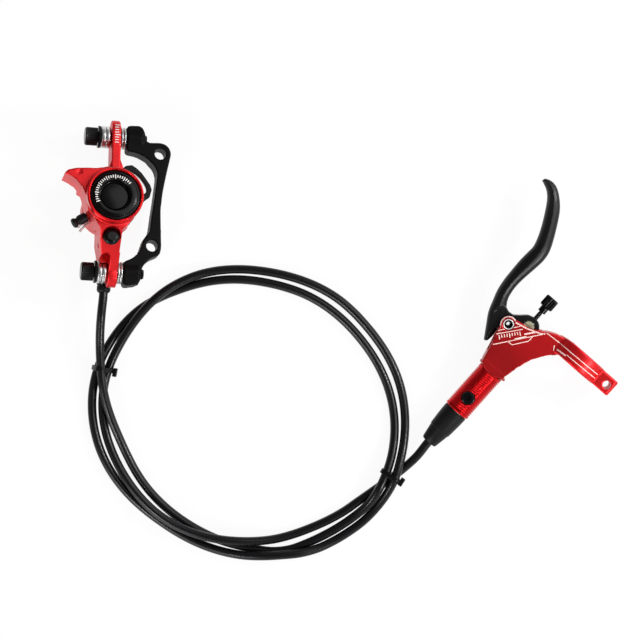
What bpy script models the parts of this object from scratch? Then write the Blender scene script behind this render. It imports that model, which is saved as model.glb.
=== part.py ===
"""Hydraulic disc brake for a bicycle: caliper on its frame adapter, coiled hose and hand lever.

Run with: blender --background --python part.py, or from Blender's text editor.
Every size below is in millimetres and becomes metres when a mesh is made.
The caliper and the lever are each modelled square to their own axes, under an empty that lays
them down as they rest on the table. Caliper: x along the mounting bolts, y along the line between
them, z along the pistons, with z = 0 in the rotor's plane. Lever: x towards the handlebar,
y along the master cylinder, z up.
"""

import math

import bmesh
import bpy
from mathutils import Matrix, Vector
from mathutils.geometry import convex_hull_2d
import numpy as np

MM = 0.001
GAP = 0.3

# Sizes fixed by what the brake bolts to
BOLT_SPAN = 74.0
FRAME_HOLE_SPAN = 51.0
BAR_DIAMETER = 22.2
ROTOR_DIAMETER = 160.0
ROTOR_REACH = 8.0
HOSE_DIAMETER = 4.8
HOSE_STEP = 10.0
STRAND_PITCH = 5.2
TIE_SLACK = 0.75
TIE_THICKNESS = 0.95
TIE_CENTRES = ((-118.8, -26.6), (38.9, -85.0))

# Caliper
PISTON_RADIUS = 10.7
CAP_RADIUS = 13.0
CAP_RIM = 5.1
RING_WALL = 1.4
RING_RADIUS = CAP_RADIUS + GAP + RING_WALL
PAD_TRAVEL = 0.4
SPACER_THICKNESS = 2.6
EAR_MIDDLE = 3.0
EAR_THICKNESS = 4.8
EAR_REACH = 2.4
BOLT_LEVEL = -10.0
BOLT_UP = 38.9
BOLT_DOWN = BOLT_UP - BOLT_SPAN
BOLT_RADIUS = 3.0
BRACKET_THICKNESS = 9.7
BRACKET_TOP = -5.0
PORT = (0.6, -21.0)
BODY_SCREW = (-0.35, -20.2)
WING_BACK = -1.0

# Lever
BLADE_THICKNESS = 10.4
HUB_THICKNESS = 7.8
PLATE_THICKNESS = 14.8
PIVOT = (-10.5, 44.5)
NUT = (-1.2, 50.5)
BAR_CENTRE = (30.0, 0.0)
CLAMP_FROM = 49.8
CLAMP_WIDTH = 10.0
CLAMP_WALL = 3.9
MASTER_BORE = 4.4

# Where the two units lie on the table
CALIPER_AT = (-111.29, 61.54, 27.76)
CALIPER_LEANS = (15.0, 9.0, 2.9)
LEVER_AT = (79.86, -42.06, 10.16)
LEVER_TURN = -41.2
LEVER_PITCH = 5.5
ORIGIN = (11.54, 19.53, 0.0)

# Route of the hose from the caliper to the lever, a smooth curve through these points
ROUTE = [
    # out of the caliper and down to the left tie, on top of the bundle
    (-116.1, 14.4, 15.3), (-116.4, 11.3, 15.9), (-117.1, 6.4, 16.0), (-118.1, 0.0, 14.9),
    (-118.9, -7.5, 12.6), (-119.3, -16.2, 9.9), (-118.8, -22.7, 8.9), (-118.5, -26.7, 8.8),
    # first strand, along the bottom and up through the right tie
    (-118.2, -32.5, 8.3), (-117.4, -40.1, 7.8), (-115.8, -48.3, 7.0), (-112.9, -55.4, 5.3),
    (-110.6, -61.5, 3.6), (-107.8, -68.2, 2.5), (-103.3, -78.0, 2.5), (-98.3, -87.2, 2.5),
    (-91.6, -95.4, 2.5), (-84.5, -102.5, 2.5), (-77.4, -108.1, 2.5), (-69.8, -112.9, 2.5),
    (-61.1, -117.8, 2.5), (-54.5, -120.5, 2.5), (-48.0, -122.5, 2.5), (-39.3, -124.1, 2.5),
    (-31.6, -126.2, 2.5), (-25.1, -127.5, 2.5), (-18.5, -126.9, 2.5), (-12.0, -124.9, 2.5),
    (-6.0, -122.0, 2.5), (0.0, -119.0, 2.5), (6.5, -115.5, 2.5), (13.6, -111.2, 2.5),
    (19.9, -107.1, 2.6), (25.0, -102.4, 3.8), (28.8, -97.8, 6.0), (31.4, -93.5, 7.8),
    (34.0, -88.8, 8.8), (36.4, -84.1, 9.0),
    # inner top arc, back to the left tie
    (38.1, -79.2, 8.2), (39.7, -72.8, 5.6), (40.8, -65.9, 3.2), (41.3, -58.9, 2.5),
    (40.8, -50.7, 2.5), (39.2, -42.0, 2.5), (36.3, -33.0, 2.5), (31.5, -23.0, 2.5),
    (25.6, -14.2, 2.5), (18.5, -5.5, 2.5), (8.7, 4.1, 2.5), (-2.8, 11.8, 2.5),
    (-10.9, 15.8, 2.5), (-30.1, 20.9, 2.5), (-45.8, 22.6, 2.5), (-61.4, 21.7, 2.5),
    (-70.9, 19.1, 2.5), (-77.1, 16.7, 2.5), (-84.5, 13.9, 2.5), (-91.6, 10.9, 2.5),
    (-99.2, 6.0, 2.5), (-105.8, 0.1, 2.5), (-112.1, -8.2, 2.5), (-117.0, -15.8, 2.5),
    (-119.9, -21.5, 3.7), (-121.3, -26.4, 4.15),
    # outer strand, over the first one at the bottom, to the right tie
    (-122.9, -31.4, 3.7), (-124.4, -37.8, 2.8), (-124.9, -45.3, 2.5), (-123.9, -57.7, 2.5),
    (-119.9, -72.4, 2.5), (-113.0, -84.9, 2.5), (-104.4, -95.7, 2.5), (-96.0, -103.3, 2.5),
    (-87.7, -109.4, 2.5), (-80.2, -114.5, 2.5), (-73.1, -118.9, 2.5), (-66.5, -121.9, 2.5),
    (-60.0, -124.5, 2.5), (-53.4, -126.6, 3.0), (-46.3, -127.8, 4.3), (-39.1, -128.3, 5.5),
    (-32.0, -128.1, 6.9), (-24.9, -127.7, 7.6), (-17.4, -127.3, 7.6), (-10.9, -126.6, 6.6),
    (-4.9, -125.6, 5.0), (1.1, -123.8, 3.4), (9.3, -119.8, 2.5), (16.4, -115.1, 2.5),
    (23.2, -110.3, 2.5), (29.2, -104.7, 2.7), (33.7, -98.5, 4.2), (37.2, -92.8, 7.0),
    (39.5, -89.2, 8.7), (41.3, -85.9, 9.4),
    # outer top arc, over the inner one, to the left tie
    (42.2, -81.7, 9.5), (43.6, -76.9, 8.6), (45.0, -71.7, 6.0), (46.2, -66.4, 3.8),
    (46.8, -60.5, 2.6), (46.8, -53.4, 2.5), (45.8, -42.1, 2.5), (43.4, -33.0, 2.5),
    (39.5, -23.4, 2.5), (34.4, -14.6, 2.5), (27.8, -5.9, 2.5), (17.4, 5.7, 2.5),
    (10.3, 12.1, 2.5), (-2.8, 19.3, 2.5), (-10.9, 22.4, 2.5), (-24.9, 26.0, 2.5),
    (-40.5, 28.0, 2.5), (-50.9, 27.9, 2.6), (-59.4, 26.7, 3.3), (-66.6, 24.9, 4.6),
    (-73.9, 21.9, 6.0), (-80.8, 18.3, 7.2), (-86.8, 14.5, 7.6), (-92.2, 9.8, 7.6),
    (-96.8, 4.5, 7.1), (-101.5, -1.1, 6.4), (-105.5, -7.0, 5.7), (-109.0, -13.1, 5.0),
    (-112.2, -18.8, 4.5), (-114.5, -23.2, 4.3), (-116.2, -27.2, 4.15),
    # last strand, over the first one and under the right tie's upper pair, to the lever
    (-117.6, -32.1, 3.7), (-118.6, -38.2, 2.8), (-119.2, -44.7, 2.5), (-119.0, -51.3, 2.5),
    (-118.2, -58.3, 2.5), (-113.6, -72.2, 3.2), (-110.5, -78.6, 4.3), (-106.8, -84.7, 5.4),
    (-102.6, -90.7, 6.5), (-97.6, -96.8, 7.2), (-91.1, -103.6, 7.5), (-84.0, -108.7, 7.6),
    (-77.0, -112.5, 7.6), (-70.0, -115.5, 7.5), (-62.4, -117.9, 7.4), (-54.8, -119.5, 7.3),
    (-46.7, -120.3, 7.2), (-39.1, -120.4, 6.7), (-32.6, -120.5, 5.2), (-26.1, -120.2, 3.5),
    (-19.6, -119.0, 2.6), (-13.1, -116.6, 2.5), (-7.1, -114.2, 2.5), (-1.2, -112.0, 2.5),
    (4.9, -109.3, 2.5), (11.1, -106.1, 2.5), (17.2, -102.1, 2.5), (23.2, -97.8, 2.6),
    (30.0, -92.9, 3.2), (35.6, -89.6, 3.9), (38.2, -87.6, 4.2), (40.1, -85.3, 4.2),
    (42.0, -83.3, 4.2), (45.2, -80.9, 4.4),
    (49.5, -77.2, 5.0), (53.8, -72.6, 6.2), (58.9, -67.2, 7.1),
]

RED = ("red_anodised", (0.42, 0.012, 0.016), 0.35, 0.9)
BLACK = ("black_anodised", (0.012, 0.012, 0.013), 0.4, 0.8)
STEEL = ("bare_steel", (0.55, 0.55, 0.56), 0.3, 1.0)
DARK_STEEL = ("black_steel", (0.02, 0.02, 0.022), 0.35, 1.0)
BRASS = ("plated_brass", (0.6, 0.43, 0.2), 0.35, 1.0)
PLASTIC = ("black_plastic", (0.012, 0.012, 0.012), 0.45, 0.0)
RUBBER = ("black_rubber", (0.016, 0.016, 0.016), 0.7, 0.0)
LINING = ("brake_lining", (0.1, 0.09, 0.08), 0.9, 0.0)


def empty_scene():
    for old in list(bpy.data.objects):
        bpy.data.objects.remove(old)


def new_collection(name):
    made = bpy.data.collections.new(name)
    bpy.context.scene.collection.children.link(made)
    return made


def material_for(name, look):
    title, colour, roughness, metallic = look
    made = bpy.data.materials.new(name + "_" + title)
    made.use_nodes = True
    shader = made.node_tree.nodes["Principled BSDF"]
    shader.inputs["Base Color"].default_value = (*colour, 1.0)
    shader.inputs["Roughness"].default_value = roughness
    shader.inputs["Metallic"].default_value = metallic
    return made


def frame(name, at, turn):
    """An empty at a place in millimetres, turned by a rotation matrix."""
    made = bpy.data.objects.new(name, None)
    made.empty_display_size = 20 * MM
    place = Vector(at) - Vector(ORIGIN)
    made.matrix_world = Matrix.Translation(place * MM) @ turn.to_4x4()
    PARTS.objects.link(made)
    return made


def resting_turn(right, up, roll):
    """The caliper's axes: z leans right and up by two angles, and y is rolled to the right."""
    z = Vector((math.sin(math.radians(right)), math.sin(math.radians(up)), 0.0))
    z.z = math.sqrt(1 - z.x ** 2 - z.y ** 2)
    y = Vector((math.sin(math.radians(roll)), math.cos(math.radians(roll)), 0.0))
    y = (y - z * y.dot(z)).normalized()
    x = y.cross(z)
    return Matrix((x, y, z)).transposed()


def add(name, bm, parent, look, origin=(0.0, 0.0, 0.0)):
    """Make an object from a bmesh in millimetres; with no look it is a cutter or a joined piece."""
    bmesh.ops.recalc_face_normals(bm, faces=bm.faces)
    bm.transform(Matrix.Scale(MM, 4) @ Matrix.Translation(-Vector(origin)))
    mesh = bpy.data.meshes.new(name)
    bm.to_mesh(mesh)
    bm.free()
    made = bpy.data.objects.new(name, mesh)
    made.parent = parent
    made.location = Vector(origin) * MM
    if look:
        PARTS.objects.link(made)
        mesh.materials.append(material_for(name, look))
    else:
        TOOLS.objects.link(made)
        made.hide_render = True
        made.display_type = "WIRE"
    return made


def boolean(target, operation, tools):
    for tool in tools:
        modifier = target.modifiers.new(tool.name, "BOOLEAN")
        modifier.operation = operation
        modifier.solver = "EXACT"
        modifier.object = tool


def join(target, *tools):
    boolean(target, "UNION", tools)


def cut(target, *tools):
    boolean(target, "DIFFERENCE", tools)


def on_axis(axis, a, b, height):
    """A point from two coordinates across an axis and one along it."""
    if axis == "X":
        return (height, a, b)
    if axis == "Y":
        return (a, height, b)
    return (a, b, height)


def prism(name, outline, low, high, parent, look=None, axis="Z", bevel=0.0, origin=(0, 0, 0)):
    """An outline across an axis, drawn out along it, with both rims bevelled."""
    bm = bmesh.new()
    ends = [[bm.verts.new(on_axis(axis, a, b, h)) for a, b in outline] for h in (low, high)]
    rims = [bm.faces.new(end) for end in ends]
    count = len(outline)
    for i in range(count):
        j = (i + 1) % count
        bm.faces.new((ends[0][i], ends[0][j], ends[1][j], ends[1][i]))
    if bevel:
        edges = {edge for face in rims for edge in face.edges}
        bmesh.ops.bevel(bm, geom=list(edges), offset=bevel, segments=1, profile=0.5,
                        affect="EDGES", clamp_overlap=True)
    return add(name, bm, parent, look, origin)


def along(start, direction):
    """A matrix that carries the z axis onto a line through a start point."""
    turn = Vector(direction).to_track_quat("Z", "Y").to_matrix().to_4x4()
    return Matrix.Translation(Vector(start)) @ turn


def lathe(name, profile, parent, look=None, start=(0, 0, 0), direction=(0, 0, 1), sides=32,
          closed=False, origin=(0, 0, 0)):
    """A profile of (radius, height) points turned about a line.

    An open profile starts and ends on the line; a closed one goes round a ring's section."""
    bm = bmesh.new()
    rows = []
    for radius, height in profile:
        if radius < 1e-6:
            rows.append([bm.verts.new((0, 0, height))])
        else:
            angles = [2 * math.pi * i / sides for i in range(sides)]
            rows.append([bm.verts.new((radius * math.cos(t), radius * math.sin(t), height))
                         for t in angles])
    pairs = list(zip(rows, rows[1:]))
    if closed:
        pairs.append((rows[-1], rows[0]))
    for low, high in pairs:
        if len(low) == len(high) == 1:
            continue
        for i in range(sides):
            j = (i + 1) % sides
            corners = [low[i % len(low)], low[j % len(low)], high[j % len(high)], high[i % len(high)]]
            bm.faces.new(list(dict.fromkeys(corners)))
    bm.transform(along(start, direction))
    return add(name, bm, parent, look, origin)


def drum(radius, low, high, rim=0.0):
    """Profile of a solid cylinder with chamfered rims."""
    if not rim:
        return [(0, low), (radius, low), (radius, high), (0, high)]
    return [(0, low), (radius - rim, low), (radius, low + rim), (radius, high - rim),
            (radius - rim, high), (0, high)]


def hoop(inner, outer, low, high, rim=0.0):
    """Closed profile of a ring with chamfered outer rims."""
    return [(inner, low), (outer - rim, low), (outer, low + rim), (outer, high - rim),
            (outer - rim, high), (inner, high)] if rim else [
            (inner, low), (outer, low), (outer, high), (inner, high)]


def rod(name, start, end, radius, parent, sides=24):
    """A cylinder between two points, for holes and bosses."""
    reach = Vector(end) - Vector(start)
    return lathe(name, drum(radius, 0, reach.length), parent, None, start, reach, sides)


def circle(centre, radius, sides, first=0.0, last=360.0):
    """Points of an arc; a full circle has no doubled point."""
    full = last - first >= 360.0
    count = sides if full else sides + 1
    angles = [math.radians(first + (last - first) * i / sides) for i in range(count)]
    return [(centre[0] + radius * math.cos(t), centre[1] + radius * math.sin(t)) for t in angles]


def rounded(corners, radius, steps=3):
    """An outline whose corners are eased by up to a radius, less where its sides are short."""
    outline = []
    count = len(corners)
    for i, corner in enumerate(corners):
        here = Vector(corner)
        back = Vector(corners[i - 1]) - here
        ahead = Vector(corners[(i + 1) % count]) - here
        reach = min(radius, back.length * 0.45, ahead.length * 0.45)
        first = here + back.normalized() * reach
        last = here + ahead.normalized() * reach
        for k in range(steps + 1):
            t = k / steps
            point = first * (1 - t) ** 2 + here * 2 * t * (1 - t) + last * t ** 2
            outline.append((point.x, point.y))
    return outline


def flowing(points, spacing):
    """Evenly spaced points on a smooth curve through the given ones."""
    points = [Vector(p) for p in points]
    padded = [points[0] * 2 - points[1]] + points + [points[-1] * 2 - points[-2]]
    dense = []
    for p0, p1, p2, p3 in zip(padded, padded[1:], padded[2:], padded[3:]):
        for k in range(12):
            t = k / 12
            dense.append(0.5 * (2 * p1 + (p2 - p0) * t + (2 * p0 - 5 * p1 + 4 * p2 - p3) * t ** 2
                                + (3 * p1 - p0 - 3 * p2 + p3) * t ** 3))
    dense.append(points[-1])
    total = sum((b - a).length for a, b in zip(dense, dense[1:]))
    count = max(2, round(total / spacing))
    step = total / count
    result = [dense[0]]
    walked = 0.0
    for a, b in zip(dense, dense[1:]):
        length = (b - a).length
        while len(result) < count and walked + length >= step * len(result):
            result.append(a.lerp(b, (step * len(result) - walked) / length))
        walked += length
    result.append(dense[-1])
    return result


def tube(name, points, radius, parent, look, resolution=2, closed=False):
    """A round tube along points, from a bevelled poly curve turned into a mesh."""
    curve = bpy.data.curves.new(name, "CURVE")
    curve.dimensions = "3D"
    curve.bevel_depth = radius * MM
    curve.bevel_resolution = resolution
    curve.use_fill_caps = True
    spline = curve.splines.new("POLY")
    spline.points.add(len(points) - 1)
    for slot, point in zip(spline.points, points):
        slot.co = (*(Vector(point) * MM), 1.0)
    spline.use_cyclic_u = closed
    holder = bpy.data.objects.new(name + "_path", curve)
    TOOLS.objects.link(holder)
    mesh = bpy.data.meshes.new_from_object(holder)
    bpy.data.objects.remove(holder)
    bm = bmesh.new()
    bm.from_mesh(mesh)
    bpy.data.meshes.remove(mesh)
    bmesh.ops.remove_doubles(bm, verts=bm.verts, dist=1e-6)
    bm.transform(Matrix.Scale(1 / MM, 4))
    return add(name, bm, parent, look)


def hexagon(across_flats):
    return circle((0, 0), across_flats / math.sqrt(3), 6)


def hex_socket(name, start, direction, across_flats, depth, parent):
    """A hexagonal key hole going in from a head's face."""
    bm = bmesh.new()
    ends = [[bm.verts.new((x, y, h)) for x, y in hexagon(across_flats)] for h in (-1.0, depth)]
    for end in ends:
        bm.faces.new(end)
    for i in range(6):
        j = (i + 1) % 6
        bm.faces.new((ends[0][i], ends[0][j], ends[1][j], ends[1][i]))
    bm.transform(along(start, direction))
    return add(name, bm, parent, None)


def build_caliper_body():
    """One red casting: slab with its wing, ring boss, back boss, two ears and the hose port."""
    slab = [(8.0, 12.5), (2.0, 15.6), (-3.9, 16.2), (-6.4, 15.3), (-9.8, 14.4), (-14.1, 14.7),
            (-20.5, 14.2), (-24.4, 13.0), (-26.1, 11.1), (-22.6, 9.6), (-19.5, 7.7), (-16.2, 3.9),
            (-15.0, 0.9), (-14.2, -3.4), (-13.4, -7.7), (-8.8, -13.1), (-6.5, -17.4),
            (-5.9, -22.1), (-3.8, -31.1), (5.0, -31.1), (5.0, -16.8), (10.8, -10.5), (12.0, 0.0)]
    body = prism("caliper_body", slab, -12.0, 17.0, CALIPER, RED, bevel=0.6)
    half = EAR_THICKNESS / 2
    left, right = EAR_MIDDLE - half, EAR_MIDDLE + half
    ear = circle((BOLT_UP + EAR_REACH, BOLT_LEVEL), 7.1, 10, -90, 90)
    ear += [(12.0, -2.6), (-20.0, -2.6)]
    ear += circle((BOLT_DOWN, BOLT_LEVEL), 6.2, 8, 90, 270) + [(-20.0, -18.0), (12.0, -18.0)]
    flare = [(-3.9, 15.0), (left - 1.2, 21.0), (left + 0.2, 26.0), (right - 0.2, 26.0),
             (7.2, 21.4), (9.0, 10.0), (-5.0, 10.0)]
    web = [(-3.4, -29.4), (right - 0.3, -29.4), (right - 0.3, -8.6), (-5.3, -8.6), (-5.3, -20.0)]
    port_x, port_z = PORT
    join(body,
         lathe("ring_boss", drum(RING_RADIUS, 3.0, 22.0, 1.0), CALIPER, sides=44),
         lathe("back_boss", drum(13.0, -25.35, -3.6, 1.2), CALIPER, sides=40),
         prism("ears", ear, left, right, CALIPER, axis="X", bevel=0.5),
         prism("ear_flare", rounded(flare, 1.0, 2), -17.0, -3.4, CALIPER),
         prism("port_web", web, -20.5, -5.0, CALIPER),
         rod("port_boss", (port_x, -30.4, port_z), (port_x, -9.0, port_z), 4.6, CALIPER))
    ramp = [(-13.6, 18.9), (-31.6, 1.7), (-50.0, 1.7), (-50.0, 30.0), (-13.6, 30.0)]
    wing_room = [(-30.0, 20.0), (-30.0, 5.0), (-16.8, 5.0), (-16.8, 20.0)]
    cavity = rounded([(30.0, 12.4), (-7.0, 12.4), (-8.5, 12.8), (-15.4, 12.8), (-15.4, 6.8),
                      (-9.0, 6.8), (-9.0, -12.2), (30.0, -12.2)], 1.6)
    rotor = ROTOR_DIAMETER / 2
    cut(body,
        prism("front_ramp", ramp, -20.0, 20.0, CALIPER, axis="X"),
        prism("wing_back", wing_room, -14.0, WING_BACK, CALIPER),
        prism("pad_cavity", cavity, -8.3, 8.3, CALIPER),
        lathe("rotor_slot", drum(rotor + 0.8, -2.2, 2.2), CALIPER, start=(rotor - ROTOR_REACH, 0, 0),
              sides=96),
        lathe("front_bore", drum(PISTON_RADIUS + GAP, 5.0, 19.0), CALIPER, sides=32),
        lathe("back_bore", drum(PISTON_RADIUS + GAP, -19.0, -5.0), CALIPER, sides=32),
        lathe("cap_seat", drum(CAP_RADIUS + GAP, 16.2, 30.0), CALIPER, sides=44),
        lathe("front_groove", hoop(9.0, 12.3, 10.0, 12.2), CALIPER, sides=32, closed=True),
        lathe("back_groove", hoop(9.0, 12.3, -12.2, -10.0), CALIPER, sides=32, closed=True),
        rod("pad_pin_hole", (-12.3, 9.8, -20.0), (-12.3, 9.8, 11.4), 1.75, CALIPER, 16),
        rod("screw_seat", (*BODY_SCREW, 11.0), (*BODY_SCREW, 30.0), 4.8, CALIPER),
        rod("screw_hole", (*BODY_SCREW, 3.4), (*BODY_SCREW, 12.0), 2.5, CALIPER, 16),
        rod("port_hole", (port_x, -40.0, port_z), (port_x, -22.0, port_z), 3.3, CALIPER, 20),
        rod("nipple_hole", (-17.0, -11.5, 5.0), (-10.0, -8.53, 5.0), 2.0, CALIPER, 14),
        rod("split_pin_hole", (-20.0, -19.06, 0.0), (-5.0, -3.5, 0.0), 1.6, CALIPER, 16),
        rod("wing_dimple", (-18.4, 12.2, 16.5), (-18.4, 12.2, 20.0), 1.2, CALIPER, 12))
    for name, height in (("upper", BOLT_UP), ("lower", BOLT_DOWN)):
        slot = circle((height, BOLT_LEVEL + 1.0), 3.4, 8, 0, 180)
        slot += circle((height, BOLT_LEVEL - 1.0), 3.4, 8, 180, 360)
        cut(body,
            lathe(name + "_washer_seat", drum(6.3, -30.0, left + 0.15), CALIPER,
                  start=(0, height, BOLT_LEVEL), direction=(1, 0, 0), sides=28),
            prism(name + "_ear_slot", slot, -9.0, 9.0, CALIPER, axis="X"))
    return body


def build_caliper_inside():
    """Cap, pistons, seals, pads and what holds them."""
    cap, dish = CAP_RADIUS, CAP_RADIUS - CAP_RIM
    lathe("cylinder_cap", [(0, 16.5), (cap - 1.0, 16.5), (cap - 0.4, 17.1), (cap, 17.1),
                           (cap, 20.9), (cap - 0.8, 21.6), (dish + 0.5, 21.6), (dish, 21.1),
                           (dish, 17.9), (0, 17.9)], CALIPER, DARK_STEEL, sides=40)
    for side, name in ((1, "front"), (-1, "rear")):
        up = (0, 0, side)
        origin = (0, 0, side * 8.0)
        lathe("piston_" + name, [(0, 13.5), (8.6, 13.5), (8.6, 8.0), (PISTON_RADIUS - 0.4, 8.0),
                                 (PISTON_RADIUS, 8.4), (PISTON_RADIUS, 15.0), (0, 15.0)],
              CALIPER, STEEL, direction=up, sides=32, origin=origin)
        lathe("seal_" + name, hoop(PISTON_RADIUS + GAP, 12.0, 10.3, 11.9), CALIPER, RUBBER,
              direction=up, sides=32, closed=True)
        plate = [(11.5, 11.6), (2.0, 11.9), (-7.0, 11.9), (-9.0, 12.3), (-14.6, 12.3),
                 (-14.6, 7.3), (-8.5, 6.6), (-8.5, -9.5), (-6.5, -11.6), (9.0, -11.6), (12.0, -8.5)]
        low, high = sorted((side * 5.9, side * 7.7))
        backing = prism("pad_plate_" + name, rounded(plate, 0.8, 2), low, high, CALIPER,
                        DARK_STEEL, origin=(0, 0, side * 5.9))
        cut(backing, rod("pad_eye_" + name, (-12.3, 9.8, low - 1), (-12.3, 9.8, high + 1), 1.75,
                         CALIPER, 16))
        lining = [(11.2, 10.8), (-7.4, 10.8), (-7.4, -9.2), (-5.6, -11.0), (8.6, -11.0), (11.2, -8.4)]
        low, high = sorted((side * (SPACER_THICKNESS / 2 + 0.7), side * 5.6))
        prism("pad_lining_" + name, rounded(lining, 1.5, 3), low, high, CALIPER, LINING,
              origin=(0, 0, side * 2.0))
    lathe("pad_pin", [(0, -14.4), (2.0, -14.4), (2.4, -14.0), (2.4, -12.35), (1.45, -12.35),
                      (1.45, 10.5), (1.0, 11.0), (0, 11.0)],
          CALIPER, STEEL, start=(-12.3, 9.8, 0), sides=16)
    pin = Vector((-0.694, -0.720, 0.0))
    across = Vector((0.720, -0.694, 0.0))
    eye = Vector((-6.9, -5.45, 0.0))
    path = [eye + pin * 13.6 + across * 1.5, eye + pin * 8.8 + across * 0.72,
            eye + pin * 2.0 + across * 0.72]
    for k in range(9):
        turn = math.radians(-140 + 280 * k / 8)
        path.append(eye - pin * math.cos(turn) * 1.3 - across * math.sin(turn) * 1.3)
    path += [eye + pin * 2.0 - across * 0.72, eye + pin * 8.8 - across * 0.72,
             eye + pin * 12.8 - across * 1.7]
    tube("pad_split_pin", path, 0.45, CALIPER, STEEL, 1)


def build_spacer():
    """Transport spacer in the rotor's gap, with a finger loop outside."""
    lean = math.radians(42.0)

    def at(t, q):
        return (t * math.cos(lean) - q * math.sin(lean), t * math.sin(lean) + q * math.cos(lean))

    outer = [(-6.5, -4.5), (-2.0, -10.0), (13.0, -10.2), (17.5, -10.6), (22.2, -10.4), (24.2, -6.5),
             (25.0, 0.0), (24.2, 6.5), (22.2, 10.4), (17.5, 10.6), (13.0, 10.2), (-2.0, 10.0),
             (-6.5, 4.5)]
    inner = [(12.2, -7.0), (19.6, -7.2), (21.0, -4.5), (21.6, 0.0), (21.0, 4.5), (19.6, 7.2),
             (12.2, 7.0)]
    half = SPACER_THICKNESS / 2
    spacer = prism("pad_spacer", rounded([at(*p) for p in outer], 1.8, 2), -half, half, CALIPER,
                   PLASTIC, bevel=0.3)
    cut(spacer, prism("finger_hole", rounded([at(*p) for p in inner], 1.5, 2), -5, 5, CALIPER))


def build_caliper_fittings():
    """Bleed nipple and cap, body screw, hose nut and collar."""
    way = Vector((-0.92, -0.39, 0.0)).normalized()
    base = Vector((-11.6, -9.2, 5.0))
    lathe("bleed_nipple", [(0, -1.3), (1.6, -1.3), (1.6, 2.2), (2.6, 2.2), (2.6, 3.6), (1.5, 3.7),
                           (1.5, 5.6), (1.0, 6.1), (0, 6.1)],
          CALIPER, STEEL, start=base, direction=way, sides=16)
    cap = lathe("bleed_cap", [(1.8, 4.0), (2.5, 4.0), (2.5, 6.8), (2.2, 7.4), (1.3, 7.8),
                              (1.2, 8.3), (2.2, 9.0), (2.6, 10.2), (2.2, 11.4), (0, 12.0),
                              (0, 6.5), (1.8, 6.4)],
                CALIPER, RUBBER, start=base, direction=way, sides=20, closed=True)
    head = lathe("body_screw", [(0, 4.0), (2.2, 4.0), (2.2, 11.3), (4.3, 11.3), (4.3, 12.3),
                                (3.6, 13.3), (2.4, 13.8), (0, 13.8)],
                 CALIPER, DARK_STEEL, start=(*BODY_SCREW, 0), sides=28)
    cut(head, hex_socket("body_screw_key", (*BODY_SCREW, 13.8), (0, 0, -1), 3.0, 1.7, CALIPER))
    x, z = PORT
    down = (0, -1, 0)
    nut = lathe("hose_nut_caliper", [(0, 23.0), (2.9, 23.0), (2.9, 30.7), (3.9, 30.7), (3.9, 39.4),
                                     (3.5, 40.2), (2.7, 40.2), (2.7, 34.5), (0, 34.5)],
                CALIPER, DARK_STEEL, start=(x, 0, z), direction=down, sides=24)
    lathe("hose_collar_caliper", [(2.7, 40.5), (3.7, 40.5), (3.7, 43.0), (3.2, 44.0), (2.7, 44.0)],
          CALIPER, RUBBER, start=(x, 0, z), direction=down, sides=24, closed=True)
    return cap, nut


def build_bolts():
    """Two mounting bolts with a serrated washer and two pairs of ball-faced washers each."""
    for name, y in (("upper", BOLT_UP), ("lower", BOLT_DOWN)):
        place = dict(start=(0, y, BOLT_LEVEL), direction=(1, 0, 0))
        bolt = lathe("bolt_" + name, [(0, -13.3), (4.3, -13.3), (4.9, -12.7), (4.9, -6.6),
                                      (BOLT_RADIUS, -6.6), (BOLT_RADIUS, 19.5),
                                      (BOLT_RADIUS - 0.6, 20.1), (0, 20.1)],
                     CALIPER, DARK_STEEL, sides=20, **place)
        cut(bolt, hex_socket("key_" + name, (-13.3, y, BOLT_LEVEL), (1, 0, 0), 5.0, 3.6, CALIPER))
        lathe("washer_flange_" + name, hoop(3.3, 6.0, -6.3, -4.9, 0.3), CALIPER, DARK_STEEL,
              closed=True, sides=20, **place)
        lathe("washer_dished_" + name + "_left", [(3.3, -3.4), (4.6, -4.6), (6.0, -4.6), (6.0, -2.4),
                                                  (5.4, -2.4), (3.3, -2.4)],
              CALIPER, STEEL, closed=True, sides=20, **place)
        lathe("washer_domed_" + name + "_left", [(3.3, -2.1), (6.0, -2.1), (6.0, -0.9), (5.0, 0.3),
                                                 (3.3, 0.3)],
              CALIPER, STEEL, closed=True, sides=20, **place)
        lathe("washer_domed_" + name + "_right", [(3.3, 5.7), (5.0, 5.7), (6.0, 6.5), (6.0, 7.0),
                                                  (3.3, 7.0)],
              CALIPER, STEEL, closed=True, sides=20, **place)
        lathe("washer_dished_" + name + "_right", hoop(3.3, 6.0, 7.3, 8.5, 0.2),
              CALIPER, STEEL, closed=True, sides=20, **place)


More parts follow.
